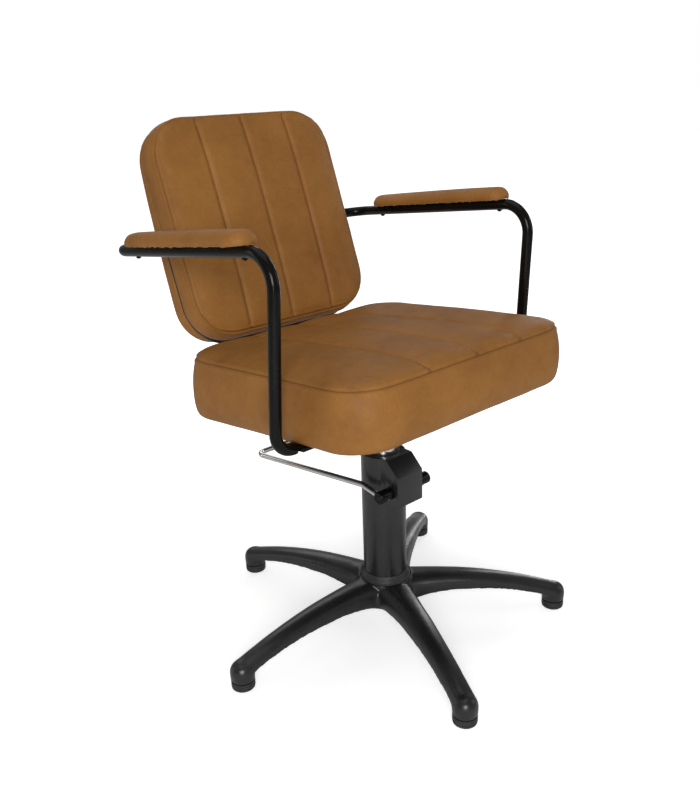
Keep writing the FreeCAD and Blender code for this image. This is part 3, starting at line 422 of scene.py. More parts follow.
def weather(obj, swell, pucker, seed):
    """Slow unevenness of the padding, and fine gathers in the leather next to the seams."""
    mesh = obj.data
    seam = read_point_value(mesh, "seam")
    normals = normal_array(mesh)
    places = vertex_array(mesh)
    shifts = np.zeros(len(places))
    offset = Vector((seed, 0.7 * seed, 0.3 * seed))
    for k, place in enumerate(places):
        spot = Vector(place)
        broad = noise.noise(spot * BROAD_WAVES + offset)
        broad += 0.5 * noise.noise(spot * LESSER_WAVES + offset)
        near = min(1.0, 2.2 * float(seam[k]))
        gather = noise.noise(spot * GATHER_WAVES + offset) * near * (1 - near * 0.5)
        shifts[k] = swell * broad + pucker * gather
    set_vertices(mesh, places + normals * shifts[:, None])


def smooth_shading(obj):
    for polygon in obj.data.polygons:
        polygon.use_smooth = True


def finish_piece(obj, body, material, replaced):
    obj.data.materials.clear()
    obj.data.materials.append(material)
    smooth_shading(obj)
    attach(obj, body)
    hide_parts(*replaced)


# ---- Materials ---------------------------------------------------------------

class Shader:
    """Small helper that builds a node material and wires values together."""

    def __init__(self, name):
        self.material = bpy.data.materials.new(name)
        self.material.use_nodes = True
        self.tree = self.material.node_tree
        self.surface = self.tree.nodes["Principled BSDF"]
        self.place = self.add("ShaderNodeTexCoord").outputs["Object"]

    def add(self, kind, **inputs):
        node = self.tree.nodes.new(kind)
        for name, value in inputs.items():
            self.set(node, name.replace("_", " "), value)
        return node

    def set(self, node, name, value):
        if isinstance(value, bpy.types.NodeSocket):
            self.tree.links.new(value, node.inputs[name])
        else:
            node.inputs[name].default_value = value

    def noise(self, scale, detail=3.0, roughness=0.5, place=None):
        node = self.add("ShaderNodeTexNoise", Vector=place or self.place, Scale=scale,
                        Detail=detail, Roughness=roughness)
        return node.outputs["Fac"]

    def cells(self, scale, feature="F1", place=None):
        node = self.add("ShaderNodeTexVoronoi", Vector=place or self.place, Scale=scale)
        node.feature = feature
        return node.outputs["Distance"]

    def stretched(self, scale):
        node = self.add("ShaderNodeMapping", Vector=self.place, Scale=scale)
        return node.outputs["Vector"]

    def remap(self, value, low, high, to_low, to_high):
        node = self.add("ShaderNodeMapRange", Value=value)
        node.inputs["From Min"].default_value = low
        node.inputs["From Max"].default_value = high
        node.inputs["To Min"].default_value = to_low
        node.inputs["To Max"].default_value = to_high
        return node.outputs["Result"]

    def math(self, operation, first, second):
        node = self.tree.nodes.new("ShaderNodeMath")
        node.operation = operation
        for socket, value in zip(node.inputs, (first, second)):
            if isinstance(value, bpy.types.NodeSocket):
                self.tree.links.new(value, socket)
            else:
                socket.default_value = value
        return node.outputs[0]

    def mix(self, factor, first, second):
        node = self.tree.nodes.new("ShaderNodeMix")
        node.data_type = "RGBA"
        colour_sockets = [s for s in node.inputs if s.type == "RGBA"]
        for socket, value in zip([node.inputs[0]] + colour_sockets, (factor, first, second)):
            if isinstance(value, bpy.types.NodeSocket):
                self.tree.links.new(value, socket)
            elif isinstance(value, tuple):
                socket.default_value = (*value, 1.0)
            else:
                socket.default_value = value
        return [s for s in node.outputs if s.type == "RGBA"][0]

    def point_value(self, name):
        node = self.tree.nodes.new("ShaderNodeAttribute")
        node.attribute_name = name
        return node.outputs["Fac"]

    def bump(self, height, distance, strength=1.0, below=None):
        node = self.add("ShaderNodeBump", Height=height, Distance=distance, Strength=strength)
        if below is not None:
            self.tree.links.new(below, node.inputs["Normal"])
        return node.outputs["Normal"]

    def finish(self, **inputs):
        for name, value in inputs.items():
            self.set(self.surface, name.replace("_", " "), value)
        return self.material


def leather(name, light, dark):
    """Matt leather: clouded dye, pebbled grain, pores, and painted shade darkening the seams."""
    s = Shader(name)
    clouds = s.remap(s.noise(9, 4, 0.6), 0.3, 0.7, 0, 1)
    streaks = s.remap(s.noise(42, 5, 0.62), 0.3, 0.72, 0, 1)
    fleck = s.remap(s.noise(260, 2, 0.5), 0.35, 0.75, 0, 1)
    colour = s.mix(clouds, dark, light)
    brighter = tuple(min(1.0, 1.16 * c) for c in light)
    colour = s.mix(s.math("MULTIPLY", streaks, 0.4), colour, brighter)
    darker = tuple(0.72 * c for c in dark)
    colour = s.mix(s.math("MULTIPLY", fleck, 0.22), colour, darker)
    seam = s.point_value("seam")
    # Painted shade: the colour darkens towards the seam lines, standing in for the shade in their
    # grooves.
    seam_shade = s.remap(seam, 0.86, 1.0, 0, 0.6)
    colour = s.mix(seam_shade, colour, tuple(0.3 * c for c in dark))
    warped = s.tree.nodes.new("ShaderNodeVectorMath")
    warped.operation = "ADD"
    drift = s.add("ShaderNodeTexNoise", Vector=s.place, Scale=160.0, Detail=2.0)
    shift = s.tree.nodes.new("ShaderNodeVectorMath")
    shift.operation = "SCALE"
    shift.inputs["Scale"].default_value = 0.002
    s.tree.links.new(drift.outputs["Color"], shift.inputs[0])
    s.tree.links.new(s.place, warped.inputs[0])
    s.tree.links.new(shift.outputs[0], warped.inputs[1])
    pebbles = s.cells(620, "F1", warped.outputs[0])
    valleys = s.remap(pebbles, 0.0, 0.75, 1.0, 0.0)
    creases = s.remap(s.cells(210, "DISTANCE_TO_EDGE", warped.outputs[0]), 0.0, 0.12, 0.0, 1.0)
    grain = s.bump(valleys, 0.00025, 0.55)
    grain = s.bump(creases, 0.0002, 0.4, grain)
    grain = s.bump(s.noise(35, 4, 0.6), 0.0012, 0.35, grain)
    rough = s.remap(s.noise(60, 4, 0.6), 0.3, 0.7, 0.5, 0.64)
    return s.finish(Base_Color=colour, Roughness=rough, Normal=grain,
                    Specular_IOR_Level=0.26)


def coated_metal(name, colour, rough, texture, distance, shine):
    """Powder-coated or painted metal with orange peel and faint handling marks."""
    s = Shader(name)
    handled = s.remap(s.noise(14, 5, 0.65), 0.35, 0.75, 0, 1)
    colour = s.mix(handled, tuple(0.82 * c for c in colour), tuple(1.25 * c for c in colour))
    dust = s.remap(s.noise(380, 2, 0.5), 0.62, 0.8, 0, 0.12)
    colour = s.mix(dust, colour, (0.09, 0.09, 0.088))
    peel = s.bump(s.noise(texture, 3, 0.55), distance, 0.5)
    roughness = s.remap(s.noise(24, 4, 0.6), 0.3, 0.7, rough - 0.04, rough + 0.07)
    return s.finish(Base_Color=colour, Roughness=roughness, Normal=peel,
                    Specular_IOR_Level=shine)


def bright_metal(name, colour, rough, scratch):
    """Bare or plated metal with fine polishing lines and faint smears."""
    s = Shader(name)
    smears = s.remap(s.noise(18, 4, 0.6), 0.3, 0.75, 0, 1)
    tint = s.mix(smears, colour, tuple(0.86 * c for c in colour))
    lines = s.noise(900, 2, 0.5, s.stretched((1.0, 0.06, 0.06)))
    normal = s.bump(lines, 0.00004, scratch)
    roughness = s.remap(s.noise(45, 4, 0.6), 0.3, 0.7, rough, rough + 0.08)
    return s.finish(Base_Color=tint, Metallic=1.0, Roughness=roughness, Normal=normal)


def moulded(name, colour, rough, texture, distance):
    """Moulded plastic or rubber with a spark-eroded texture."""
    s = Shader(name)
    scuffs = s.remap(s.noise(70, 5, 0.7), 0.45, 0.75, 0, 1)
    tint = s.mix(s.math("MULTIPLY", scuffs, 0.5), colour, tuple(2.2 * c + 0.01 for c in colour))
    normal = s.bump(s.noise(texture, 3, 0.6), distance, 0.6)
    roughness = s.remap(s.noise(50, 4, 0.6), 0.3, 0.7, rough - 0.06, rough + 0.08)
    return s.finish(Base_Color=tint, Roughness=roughness, Normal=normal)


def plywood(name):
    """Birch plywood: face grain with darker plies through its thickness."""
    s = Shader(name)
    grain = s.noise(55, 6, 0.6, s.stretched((1.0, 0.12, 1.0)))
    colour = s.mix(s.remap(grain, 0.35, 0.65, 0, 1), (0.42, 0.27, 0.14), (0.62, 0.46, 0.28))
    plies = s.add("ShaderNodeTexWave", Vector=s.place, Scale=190.0, Distortion=0.6)
    plies.bands_direction = "Z"
    colour = s.mix(s.math("MULTIPLY", plies.outputs["Fac"], 0.25), colour, (0.3, 0.17, 0.08))
    return s.finish(Base_Color=colour, Roughness=0.7, Normal=s.bump(grain, 0.0004, 0.6))


def woven_lining(name, colour):
    """Thin woven cloth under the seat."""
    s = Shader(name)
    warp = s.add("ShaderNodeTexWave", Vector=s.place, Scale=320.0)
    warp.bands_direction = "X"
    weft = s.add("ShaderNodeTexWave", Vector=s.place, Scale=320.0)
    weft.bands_direction = "Y"
    weave = s.math("MAXIMUM", warp.outputs["Fac"], weft.outputs["Fac"])
    tint = s.mix(weave, tuple(0.5 * c for c in colour), tuple(1.6 * c for c in colour))
    return s.finish(Base_Color=tint, Roughness=0.95, Normal=s.bump(weave, 0.0003, 0.8),
                    Sheen_Weight=0.2)


def open_foam(name):
    s = Shader(name)
    pores = s.cells(420)
    tint = s.mix(s.remap(pores, 0, 0.6, 0, 1), (0.45, 0.38, 0.2), (0.8, 0.74, 0.52))
    return s.finish(Base_Color=tint, Roughness=0.95, Normal=s.bump(pores, 0.0006, 0.8))


TAN_LIGHT = (0.33, 0.142, 0.029)
TAN_DARK = (0.225, 0.09, 0.016)

MATERIALS = {
    "tan_leather": leather("tan_leather_grain", TAN_LIGHT, TAN_DARK),
    "cast_base": coated_metal("satin_powder_coat", (0.011, 0.011, 0.0115), rough=0.29,
                              texture=700, distance=0.0002, shine=0.55),
    "black_steel": coated_metal("semi_gloss_black", (0.004, 0.0036, 0.0032), rough=0.13,
                                texture=260, distance=0.00006, shine=0.16),
    "chrome": bright_metal("polished_chrome", (0.72, 0.71, 0.69), rough=0.07, scratch=0.25),
    "bright_steel": bright_metal("zinc_plated_steel", (0.52, 0.52, 0.51), rough=0.26,
                                 scratch=0.6),
    "bronze": bright_metal("turned_bronze", (0.5, 0.31, 0.14), rough=0.28, scratch=0.7),
    "black_plastic": moulded("moulded_plastic", (0.02, 0.02, 0.02), rough=0.5, texture=900,
                             distance=0.0003),
    "black_rubber": moulded("black_rubber", (0.014, 0.014, 0.014), rough=0.62, texture=600,
                            distance=0.0003),
    "foam": open_foam("open_cell_foam"),
    "plywood": plywood("birch_plywood"),
    "black_cloth": woven_lining("woven_lining", (0.02, 0.02, 0.02)),
}


# ---- Seat cushion ------------------------------------------------------------

SEAT_BULGE = 8 * MM        # the side swells this much past the seam
SEAT_SWELL = 5 * MM        # extra swell halfway down the side
SEAT_SAG = 2.5 * MM        # the leather hangs this much below the frame
SEAT_SEAM_SLOPE = 4.5 * MM
SEAT_CORNER_R = 66 * MM
SEAT_CROWN = 8.5 * MM
SEAT_ROLL = 8.5 * MM       # height of the rolled edge inside the seam
SEAT_ROLL_W = 22 * MM
SEAT_PUFF = 3.5 * MM       # rise of the leather between two channels
SEAT_PUFF_W = 45 * MM
SEAT_CHANNEL = 101 * MM
SEAT_CELL = 9 * MM
SEAT_SQUARENESS = 3.2
SEAT_FOOT_R = 15 * MM      # rounding of the lower edge
SEAT_FOOT_OUT = 7 * MM
SEAT_SIDE_RINGS = 9


def seat_face(panel, seam_h, rim_height):
    """Height of the seat's top: a crown, a rolled edge and a puff between the channels."""
    def height(x, y):
        reach = panel_reach(panel, x, y, SEAT_SQUARENESS)
        rise = SEAT_CROWN * (1 - reach ** 2.6)
        rolled = SEAT_ROLL * rolled_edge(panel, x, y, SEAT_ROLL_W)
        puff = SEAT_PUFF * puffed(x, SEAT_CHANNEL, panel.half[0])
        rolled += puff * rolled_edge(panel, x, y, SEAT_PUFF_W)
        at_edge = (rim_height(x, y) - seam_h) * reach ** 6
        return seam_h + at_edge + rise + rolled
    return height


def seat_side(rim_height):
    """Rings of the swollen side and of its rounded lower edge."""
    def side_height(share):
        return lambda x, y: rim_height(x, y) * (1 - share) + SEAT_FOOT_R * share

    band = []
    for k in range(1, SEAT_SIDE_RINGS + 1):
        share = k / SEAT_SIDE_RINGS
        outset = SEAT_FOOT_OUT * share + SEAT_SWELL * math.sin(math.pi * share) ** 0.8
        band.append((outset, side_height(share), SEAT_CORNER_R + outset))
    for angle in (30, 60, 90):
        turn = math.radians(angle)
        outset = SEAT_FOOT_OUT - SEAT_FOOT_R * (1 - math.cos(turn))
        height = SEAT_FOOT_R - (SEAT_FOOT_R + SEAT_SAG) * math.sin(turn)
        band.append((outset, height, SEAT_CORNER_R + outset))
    return band


def seat_cushion():
    low, high = [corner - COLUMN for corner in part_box("seat_cover")]
    tilted_low, tilted_high = tilted_box("seat_cover", SEAT_TILT)
    middle_y = 0.5 * (low.y + high.y)
    underside_z = tilted_low.z / math.cos(SEAT_TILT)
    half_x = 0.5 * (high.x - low.x) - SEAT_BULGE
    half_y = 0.5 * (high.y - low.y) - SEAT_BULGE + 2 * MM
    seam_h = tilted_high.z - tilted_low.z - SEAT_CROWN - SEAT_ROLL - 1.5 * MM
    panel = Panel(half_x, half_y, SEAT_CORNER_R, [0.0, SEAT_CHANNEL], SEAT_CELL)

    def place(x, y, height):
        world_y = y + middle_y
        return Vector((x, world_y, underside_z - world_y * math.tan(SEAT_TILT) + height))

    def rim_height(x, y):
        """The seam runs lower at the front, where the sitter's legs press."""
        return seam_h + SEAT_SEAM_SLOPE * y / half_y

    mesh = cushion_mesh("seat_cushion", panel, seat_face(panel, seam_h, rim_height),
                        seat_side(rim_height), (26 * MM, 3.4 * MM), place)
    obj = new_object("seat_cushion", mesh)
    inflate(obj, 3.0, 5 * MM)
    crease_seams(obj.data, 0.9)
    refine(obj, 2)
    sew(obj, channel_depth=3.4 * MM, channel_taper=2.8, rim_depth=2.6 * MM, ridge=1.2 * MM)
    weather(obj, swell=0.7 * MM, pucker=0.35 * MM, seed=3.0)
    finish_piece(obj, "seat", MATERIALS["tan_leather"],
                 ["seat_cover", "seat_foam"])


# ---- Backrest ----------------------------------------------------------------

def back_frame():
    """Place function of the leaning back frame, and the cushion's corners in it."""
    axes = turned_axes(BACK_TILT)
    low, high = tilted_box("back_cover", BACK_TILT)
    middle_v = 0.5 * (low.z + high.z)

    def place(x, v, depth):
        return axes @ Vector((x, depth, v + middle_v))

    return place, low, high


def below_tube(v):
    """1 below the cross tube, where cushion and rear panel stand apart, and 0 above it."""
    share = min(1.0, max(0.0, (4 * MM - v) / (8 * MM)))
    return share * share * (3 - 2 * share)


BACK_SEAM_R = 71 * MM      # corner radius of the seam, of the joint and of the rear rim
BACK_JOINT_R = 68 * MM
BACK_REAR_R = 66 * MM
BACK_SEAM_SETBACK = 4 * MM
BACK_CAD_CROWN = 12 * MM   # crown of the plain CAD cushion
BACK_CROWN = 8 * MM
BACK_ROLL = 6.5 * MM       # height of the rolled edge inside the seam
BACK_ROLL_W = 15 * MM
BACK_SEAM_LIFT = 5 * MM    # the face's lower edge is drawn up this much
BACK_SWELL = 3 * MM        # extra swell halfway along the side
BACK_OPENING = 2.5 * MM    # the side turns in this much at the open joint
BACK_CHANNEL = 93.5 * MM
BACK_CELL = 8.5 * MM
BACK_SQUARENESS = 3.4
JOINT_OUT = 1.5 * MM       # outset of both pieces at the joint


def back_panel(low, high, setback_out):
    half_x = 0.5 * (high.x - low.x) + setback_out
    half_v = 0.5 * (high.z - low.z) + setback_out
    return Panel(half_x, half_v, BACK_SEAM_R, [0.0, BACK_CHANNEL], BACK_CELL)


def back_side(depth):
    """Rings of the cushion's side, from its seam to the joint with the rear panel."""
    def turned_in(x, v):
        return JOINT_OUT - BACK_OPENING * below_tube(v)

    band = []
    for share in (0.12, 0.3, 0.5, 0.7, 0.86, 0.95):
        outset = JOINT_OUT * share + BACK_SWELL * math.sin(math.pi * share)
        corner_r = BACK_SEAM_R + (BACK_JOINT_R - BACK_SEAM_R) * share
        band.append((outset, -depth * share, corner_r))
    band.append((turned_in, -depth, BACK_JOINT_R))
    return band


def back_cushion():
    place_back, low, high = back_frame()
    seam_y = low.y + BACK_CAD_CROWN + BACK_SEAM_SETBACK
    depth = high.y - seam_y
    panel = back_panel(low, high, 1.5 * MM)

    def face_height(x, v):
        rise = BACK_CROWN * (1 - panel_reach(panel, x, v, BACK_SQUARENESS) ** 3.0)
        return rise + BACK_ROLL * rolled_edge(panel, x, v, BACK_ROLL_W)

    def place(x, v, height):
        """The face's lower edge is drawn up, so that the band bulges below it."""
        low_down = max(0.0, -v / panel.half[1])
        fade = max(0.0, 1 + min(0.0, height) / (0.4 * depth))
        return place_back(x, v + BACK_SEAM_LIFT * low_down ** 4 * fade, seam_y - height)

    mesh = cushion_mesh("back_cushion", panel, face_height, back_side(depth),
                        (8 * MM, -depth + 0.1 * MM), place)
    obj = new_object("back_cushion", mesh)
    inflate(obj, 3.0, 4 * MM)
    crease_seams(obj.data, 0.9)
    refine(obj, 2)
    sew(obj, channel_depth=4.0 * MM, channel_taper=1.6, rim_depth=3.2 * MM, ridge=1.9 * MM)
    weather(obj, swell=0.6 * MM, pucker=0.4 * MM, seed=8.0)
    finish_piece(obj, "seat", MATERIALS["tan_leather"],
                 ["back_cover", "back_foam"])


TRIM_INSET = 4.5 * MM      # the edging starts this far inside the leather's edge
TRIM_R = 66 * MM
TRIM_RELIEF = 1 * MM
TRIM_OPENING = 4.6 * MM    # extra width that fills the open joint below the tube
# Painted shade: this widening carries the black edging past the leather into the shade between
# back and seat.
TRIM_BELLY = 10 * MM       # and more in the middle of the lower edge


def edge_trim():
    """Black edging in the joint, flush below the cross tube and lower than the leather; the
    widened middle of its lower edge is partly edging and partly painted shade between back and
    seat.
    """
    place_back, low, high = back_frame()
    rear_y = tilted_box("rear_cover", BACK_TILT)[0].y + 1 * MM
    front_y = high.y - 1 * MM
    panel = back_panel(low, high, -TRIM_INSET)

    def flush(x, v):
        low_down = min(1.0, max(0.0, -v / panel.half[1]))
        # Partly painted shade: the edging grows in the middle of the lower edge to stand in for
        # the shade above the seat.
        belly = low_down ** 8 * max(0.0, 1 - (x / panel.half[0]) ** 2)
        return TRIM_RELIEF + TRIM_OPENING * below_tube(v) + TRIM_BELLY * belly

    def face_height(x, v):
        return -front_y

    def place(x, v, height):
        return place_back(x, v, -height)

    band = [(flush, -front_y, TRIM_R), (flush, -rear_y, TRIM_R)]
    mesh = cushion_mesh("back_edge_trim", panel, face_height, band, (2 * MM, -rear_y), place,
                        rim_seam=False)
    obj = new_object("back_edge_trim", mesh)
    finish_piece(obj, "seat", MATERIALS["black_rubber"], ["back_trim"])


def rear_skin_profile():
    """Depth of the CAD rear panel's skin against height, as a fitted curve."""
    upright = turned_axes(BACK_TILT).transposed()
    spots = np.array([upright @ (v.co - COLUMN) for v in nodes["rear_cover"].data.vertices])
    inner = spots[:, 2] > spots[:, 2].min() + 12 * MM
    inner &= spots[:, 2] < spots[:, 2].max() - 12 * MM
    deepest = {}
    for x, depth, height in spots[inner]:
        level = round(height / (10 * MM))
        if depth > deepest.get(level, (0.0, 0.0))[1]:
            deepest[level] = (height, depth)
    heights, depths = np.array(list(deepest.values())).T
    return np.polyfit(heights, depths, 2)


SHELL_RIM_R = 10 * MM      # rounding between the rear skin and the side
SHELL_OPENING = 2 * MM


def shell_side(skin, front_edge):
    """Rings of the rounded rear edge and of the side that runs forward to the joint."""
    def rounded(drop):
        return lambda x, v: skin(x, v) - drop

    def forward(share):
        def depth(x, v):
            rear = skin(x, v) - SHELL_RIM_R
            return rear + (front_edge(x, v) + 2 * MM - rear) * share
        return depth

    def turned_in(x, v):
        return SHELL_RIM_R - SHELL_OPENING * below_tube(v)

    band = []
    for angle in (22.5, 45, 67.5, 90):
        turn = math.radians(angle)
        drop = SHELL_RIM_R * (1 - math.cos(turn))
        band.append((SHELL_RIM_R * math.sin(turn), rounded(drop), BACK_REAR_R))
    for share in (0.3, 0.6, 0.9, 1.0):
        corner_r = BACK_REAR_R + (BACK_JOINT_R - BACK_REAR_R) * share
        band.append((SHELL_RIM_R, forward(share), corner_r))
    band.append((turned_in, front_edge, BACK_JOINT_R))
    return band


def rear_shell():
    """Bowed rear panel, notched where the cross tube enters at each side."""
    place_back, low, high = back_frame()
    middle_v = 0.5 * (low.z + high.z)
    front_y = tilted_box("rear_cover", BACK_TILT)[0].y
    joint_y = high.y
    curve = rear_skin_profile()
    panel = back_panel(low, high, 1.5 * MM)
    panel = panel.resized(JOINT_OUT - SHELL_RIM_R, BACK_REAR_R - SHELL_RIM_R)

    def skin(x, v):
        return float(np.polyval(curve, v + middle_v))

    def front_edge(x, v):
        return joint_y + 0.1 * MM + (front_y - joint_y) * below_tube(v)

    def place(x, v, depth):
        return place_back(-x, v, depth)

    mesh = cushion_mesh("back_rear_shell", panel, skin, shell_side(skin, front_edge),
                        (8 * MM, front_y + 0.1 * MM), place, rim_seam=False)
    obj = new_object("back_rear_shell", mesh)
    refine(obj, 2)
    weather(obj, swell=0.35 * MM, pucker=0.0, seed=15.0)
    notch_for_tube(obj)
    finish_piece(obj, "seat", MATERIALS["tan_leather"],
                 ["rear_cover", "rear_panel"])


SLOT_CLEARANCE = 1.6 * MM
SLOT_LENGTH = 40 * MM      # from the tube's axis to the slot's open end
SLOT_REACH = 260 * MM      # past both sides of the back


def slot_profile():
    """Round-ended slot about the cross tube: depths and heights in the leaning frame."""
    upright = turned_axes(BACK_TILT).transposed()
    tube = np.array([upright @ (v.co - COLUMN) for v in nodes["arm_frame"].data.vertices
                     if abs(v.co.x - COLUMN.x) < 150 * MM])
    middle = 0.5 * (tube.min(axis=0) + tube.max(axis=0))
    slot_r = 0.5 * (tube[:, 2].max() - tube[:, 2].min()) + SLOT_CLEARANCE
    profile = []
    for degrees in range(-90, 91, 9):
        turn = math.radians(degrees)
        profile.append((middle[1] + slot_r * math.cos(turn),
                        middle[2] + slot_r * math.sin(turn)))
    profile.append((middle[1] - SLOT_LENGTH, middle[2] + slot_r))
    profile.append((middle[1] - SLOT_LENGTH, middle[2] - slot_r))
    return profile


def slot_cutter():
    """A bar with the slot's profile that crosses the whole back."""
    axes = turned_axes(BACK_TILT)
    profile = slot_profile()
    points = [COLUMN + axes @ Vector((x, depth, height)) for x in (-SLOT_REACH, SLOT_REACH)
              for depth, height in profile]
    count = len(profile)
    faces = [tuple(range(count)), tuple(range(2 * count - 1, count - 1, -1))]
    faces += [(k, k + count, (k + 1) % count + count, (k + 1) % count) for k in range(count)]
    mesh = bpy.data.meshes.new("slot_cutter")
    mesh.from_pydata(points, [], faces)
    build = bmesh.new()
    build.from_mesh(mesh)
    bmesh.ops.recalc_face_normals(build, faces=build.faces)
    build.to_mesh(mesh)
    build.free()
    return new_object("slot_cutter", mesh)


def notch_for_tube(obj):
    cutter = slot_cutter()
    slot = obj.modifiers.new("slot", "BOOLEAN")
    slot.operation = "DIFFERENCE"
    slot.solver = "EXACT"
    slot.object = cutter
    applied(obj)
    bpy.data.objects.remove(cutter)


# ---- Arm pads ----------------------------------------------------------------

def arm_pad(side, node, name):
    """Padded armrest, a little thinner behind, its leather gathered underneath."""
    low, high = tilted_box(node, RAIL_TILT)
    middle_x = 0.5 * (low.x + high.x)
    middle_y = 0.5 * (low.y + high.y)
    half_x = 0.5 * (high.x - low.x) - 1 * MM
    half_y = 0.5 * (high.y - low.y) - 1 * MM
    axes = turned_axes(RAIL_TILT)
    thickness = high.z - low.z
    rim_h = 0.42 * thickness
    top_h = thickness - rim_h
    end_r = half_x - 1 * MM
    panel = Panel(half_x, half_y, end_r, [], 5 * MM)

    def place(x, y, height):
        along = max(0.0, (y / half_y + 1) / 2)
        taper = 1.38 - 0.1 * along ** 2
        return axes @ Vector((middle_x + x, middle_y + y, low.z + height * taper))

    def face_height(x, y):
        flat = 0.82 + 0.18 * (1 - (x / half_x) ** 2)
        return rim_h + top_h * flat * rolled_edge(panel, x, y, 14 * MM)

    def gathered(height, strength):
        """Height of a ring that the gathers pull up and down along the pad's edge."""
        def wavy(x, y):
            spot = Vector((x * 130, y * 130, side * 5.0))
            return height + strength * noise.noise(spot)
        return wavy

    band = [(outset, height, end_r + outset) for outset, height in (
        (0.9 * MM, 0.62 * rim_h), (0.8 * MM, gathered(0.25 * rim_h, 1.4 * MM)),
        (0.0, gathered(-1.8 * MM, 5.0 * MM)), (-3 * MM, gathered(-0.6 * MM, 0.8 * MM)))]
    mesh = cushion_mesh(name, panel, face_height, band, (7 * MM, 0.4 * MM), place, rim_seam=False)
    obj = new_object(name, mesh)
    inflate(obj, 1.5, 1.5 * MM)
    refine(obj, 2)
    weather(obj, swell=0.3 * MM, pucker=0.0, seed=20.0 + side)
    finish_piece(obj, "seat", MATERIALS["tan_leather"], [node])


# ---- Base casting ------------------------------------------------------------

HUB_LOOSENESS = 0.9        # how far smoothing may round each region of the casting
ARM_LOOSENESS = 0.25
CUP_LOOSENESS = 0.4
HUB_REACH = 150 * MM       # the hub's fillets fade out up to this radius
HUB_FADE = 40 * MM
CUP_INNER_R = 262 * MM
CUP_BOTTOM_Z = 33 * MM
RIM_DEPTH = 14 * MM        # the hub's turned rim keeps its edge
RIM_R = 52.5 * MM
RIM_FADE = 15 * MM
BORE_R = 46 * MM


def casting_looseness(positions):
    """Smoothing weight of every vertex: high at the hub's fillets and none at its rim."""
    radius = np.hypot(positions[:, 0] - COLUMN.x, positions[:, 1] - COLUMN.y)
    height = positions[:, 2]
    hub_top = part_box("column_collar")[0].z + 6 * MM
    hub_fillet = np.clip((HUB_REACH - radius) / HUB_FADE, 0, 1)
    loose = ARM_LOOSENESS + (HUB_LOOSENESS - ARM_LOOSENESS) * hub_fillet
    loose[(radius > CUP_INNER_R) & (height > CUP_BOTTOM_Z)] = CUP_LOOSENESS
    at_rim = height > hub_top - RIM_DEPTH
    loose[at_rim] *= np.clip((radius[at_rim] - RIM_R) / RIM_FADE, 0, 1)
    loose[radius < BORE_R] = 0.0
    return loose


def base_casting():
    """The CAD star with its arms blended into the hub, as a casting is."""
    obj = new_object("base_casting", nodes["base_star"].data.copy())
    remesh = obj.modifiers.new("skin", "REMESH")
    remesh.mode = "VOXEL"
    remesh.voxel_size = 1.8 * MM
    applied(obj)
    group = obj.vertex_groups.new(name="loose")
    levels = np.round(casting_looseness(vertex_array(obj.data)) * 20) / 20
    for level in np.unique(levels):
        group.add(np.nonzero(levels == level)[0].tolist(), float(level), "REPLACE")
    smooth = obj.modifiers.new("fillets", "SMOOTH")
    smooth.factor = 0.6
    smooth.iterations = 110
    smooth.vertex_group = "loose"
    applied(obj)
    finish_piece(obj, "base", MATERIALS["cast_base"], ["base_star"])


# ---- Return spring -----------------------------------------------------------

def return_spring():
    """The plunger's spring, held at its upper end, as a welded copy of the CAD spring."""
    obj = new_object("return_spring", nodes["plunger_spring"].data.copy())
    weld_borders(obj)
    applied(obj)
    finish_piece(obj, "base", MATERIALS["bright_steel"], ["plunger_spring"])
    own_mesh(obj)


# ---- CAD pieces that keep their shape ----------------------------------------

SOFT_EDGES = {
    "pump_head": 1.5 * MM, "lever_bosses": 0.5 * MM, "column_collar": 0.5 * MM,
    "left_arm_bracket": 0.6 * MM, "right_arm_bracket": 0.6 * MM, "seat_mount": 0.8 * MM,
    "floor_glides": 0.3 * MM, "pump_cover": 0.4 * MM,
}
SHARP_ANGLE = math.radians(35)


def crisp_shading():
    """Node group that shades a mesh smooth except across edges with a sharp angle."""
    tree = bpy.data.node_groups.new("crisp_shading", "GeometryNodeTree")
    tree.interface.new_socket("Geometry", in_out="INPUT", socket_type="NodeSocketGeometry")
    tree.interface.new_socket("Geometry", in_out="OUTPUT", socket_type="NodeSocketGeometry")
    plain = tree.nodes.new("GeometryNodeRemoveAttribute")
    plain.inputs["Name"].default_value = "custom_normal"
    all_faces = tree.nodes.new("GeometryNodeSetShadeSmooth")
    blunt_edges = tree.nodes.new("GeometryNodeSetShadeSmooth")
    blunt_edges.domain = "EDGE"
    angle = tree.nodes.new("GeometryNodeInputMeshEdgeAngle")
    blunt = tree.nodes.new("FunctionNodeCompare")
    blunt.operation = "LESS_THAN"
    blunt.inputs["B"].default_value = SHARP_ANGLE
    chain = [tree.nodes.new("NodeGroupInput"), plain, all_faces, blunt_edges,
             tree.nodes.new("NodeGroupOutput")]
    for before, after in zip(chain, chain[1:]):
        tree.links.new(before.outputs[0], after.inputs[0])
    tree.links.new(angle.outputs["Unsigned Angle"], blunt.inputs["A"])
    tree.links.new(blunt.outputs["Result"], blunt_edges.inputs["Shade Smooth"])
    return tree


def dress_cad_nodes():
    """Gives each CAD node its material, closed smooth shading and, where it shows, soft edges."""
    shading = crisp_shading()
    slots = {entry["node"]: entry["material_slot"] for entry in frame["record"]["subparts"]}
    for name, obj in nodes.items():
        material = MATERIALS[slots[name]]
        obj.data.materials.clear()
        obj.data.materials.append(material)
        weld_borders(obj)
        if name in SOFT_EDGES:
            bevel = obj.modifiers.new("soft_edges", "BEVEL")
            bevel.width = SOFT_EDGES[name]
            bevel.segments = 3
            bevel.limit_method = "ANGLE"
            bevel.angle_limit = math.radians(30)
        crisp = obj.modifiers.new("crisp_shading", "NODES")
        crisp.node_group = shading


# ---- Studio ------------------------------------------------------------------

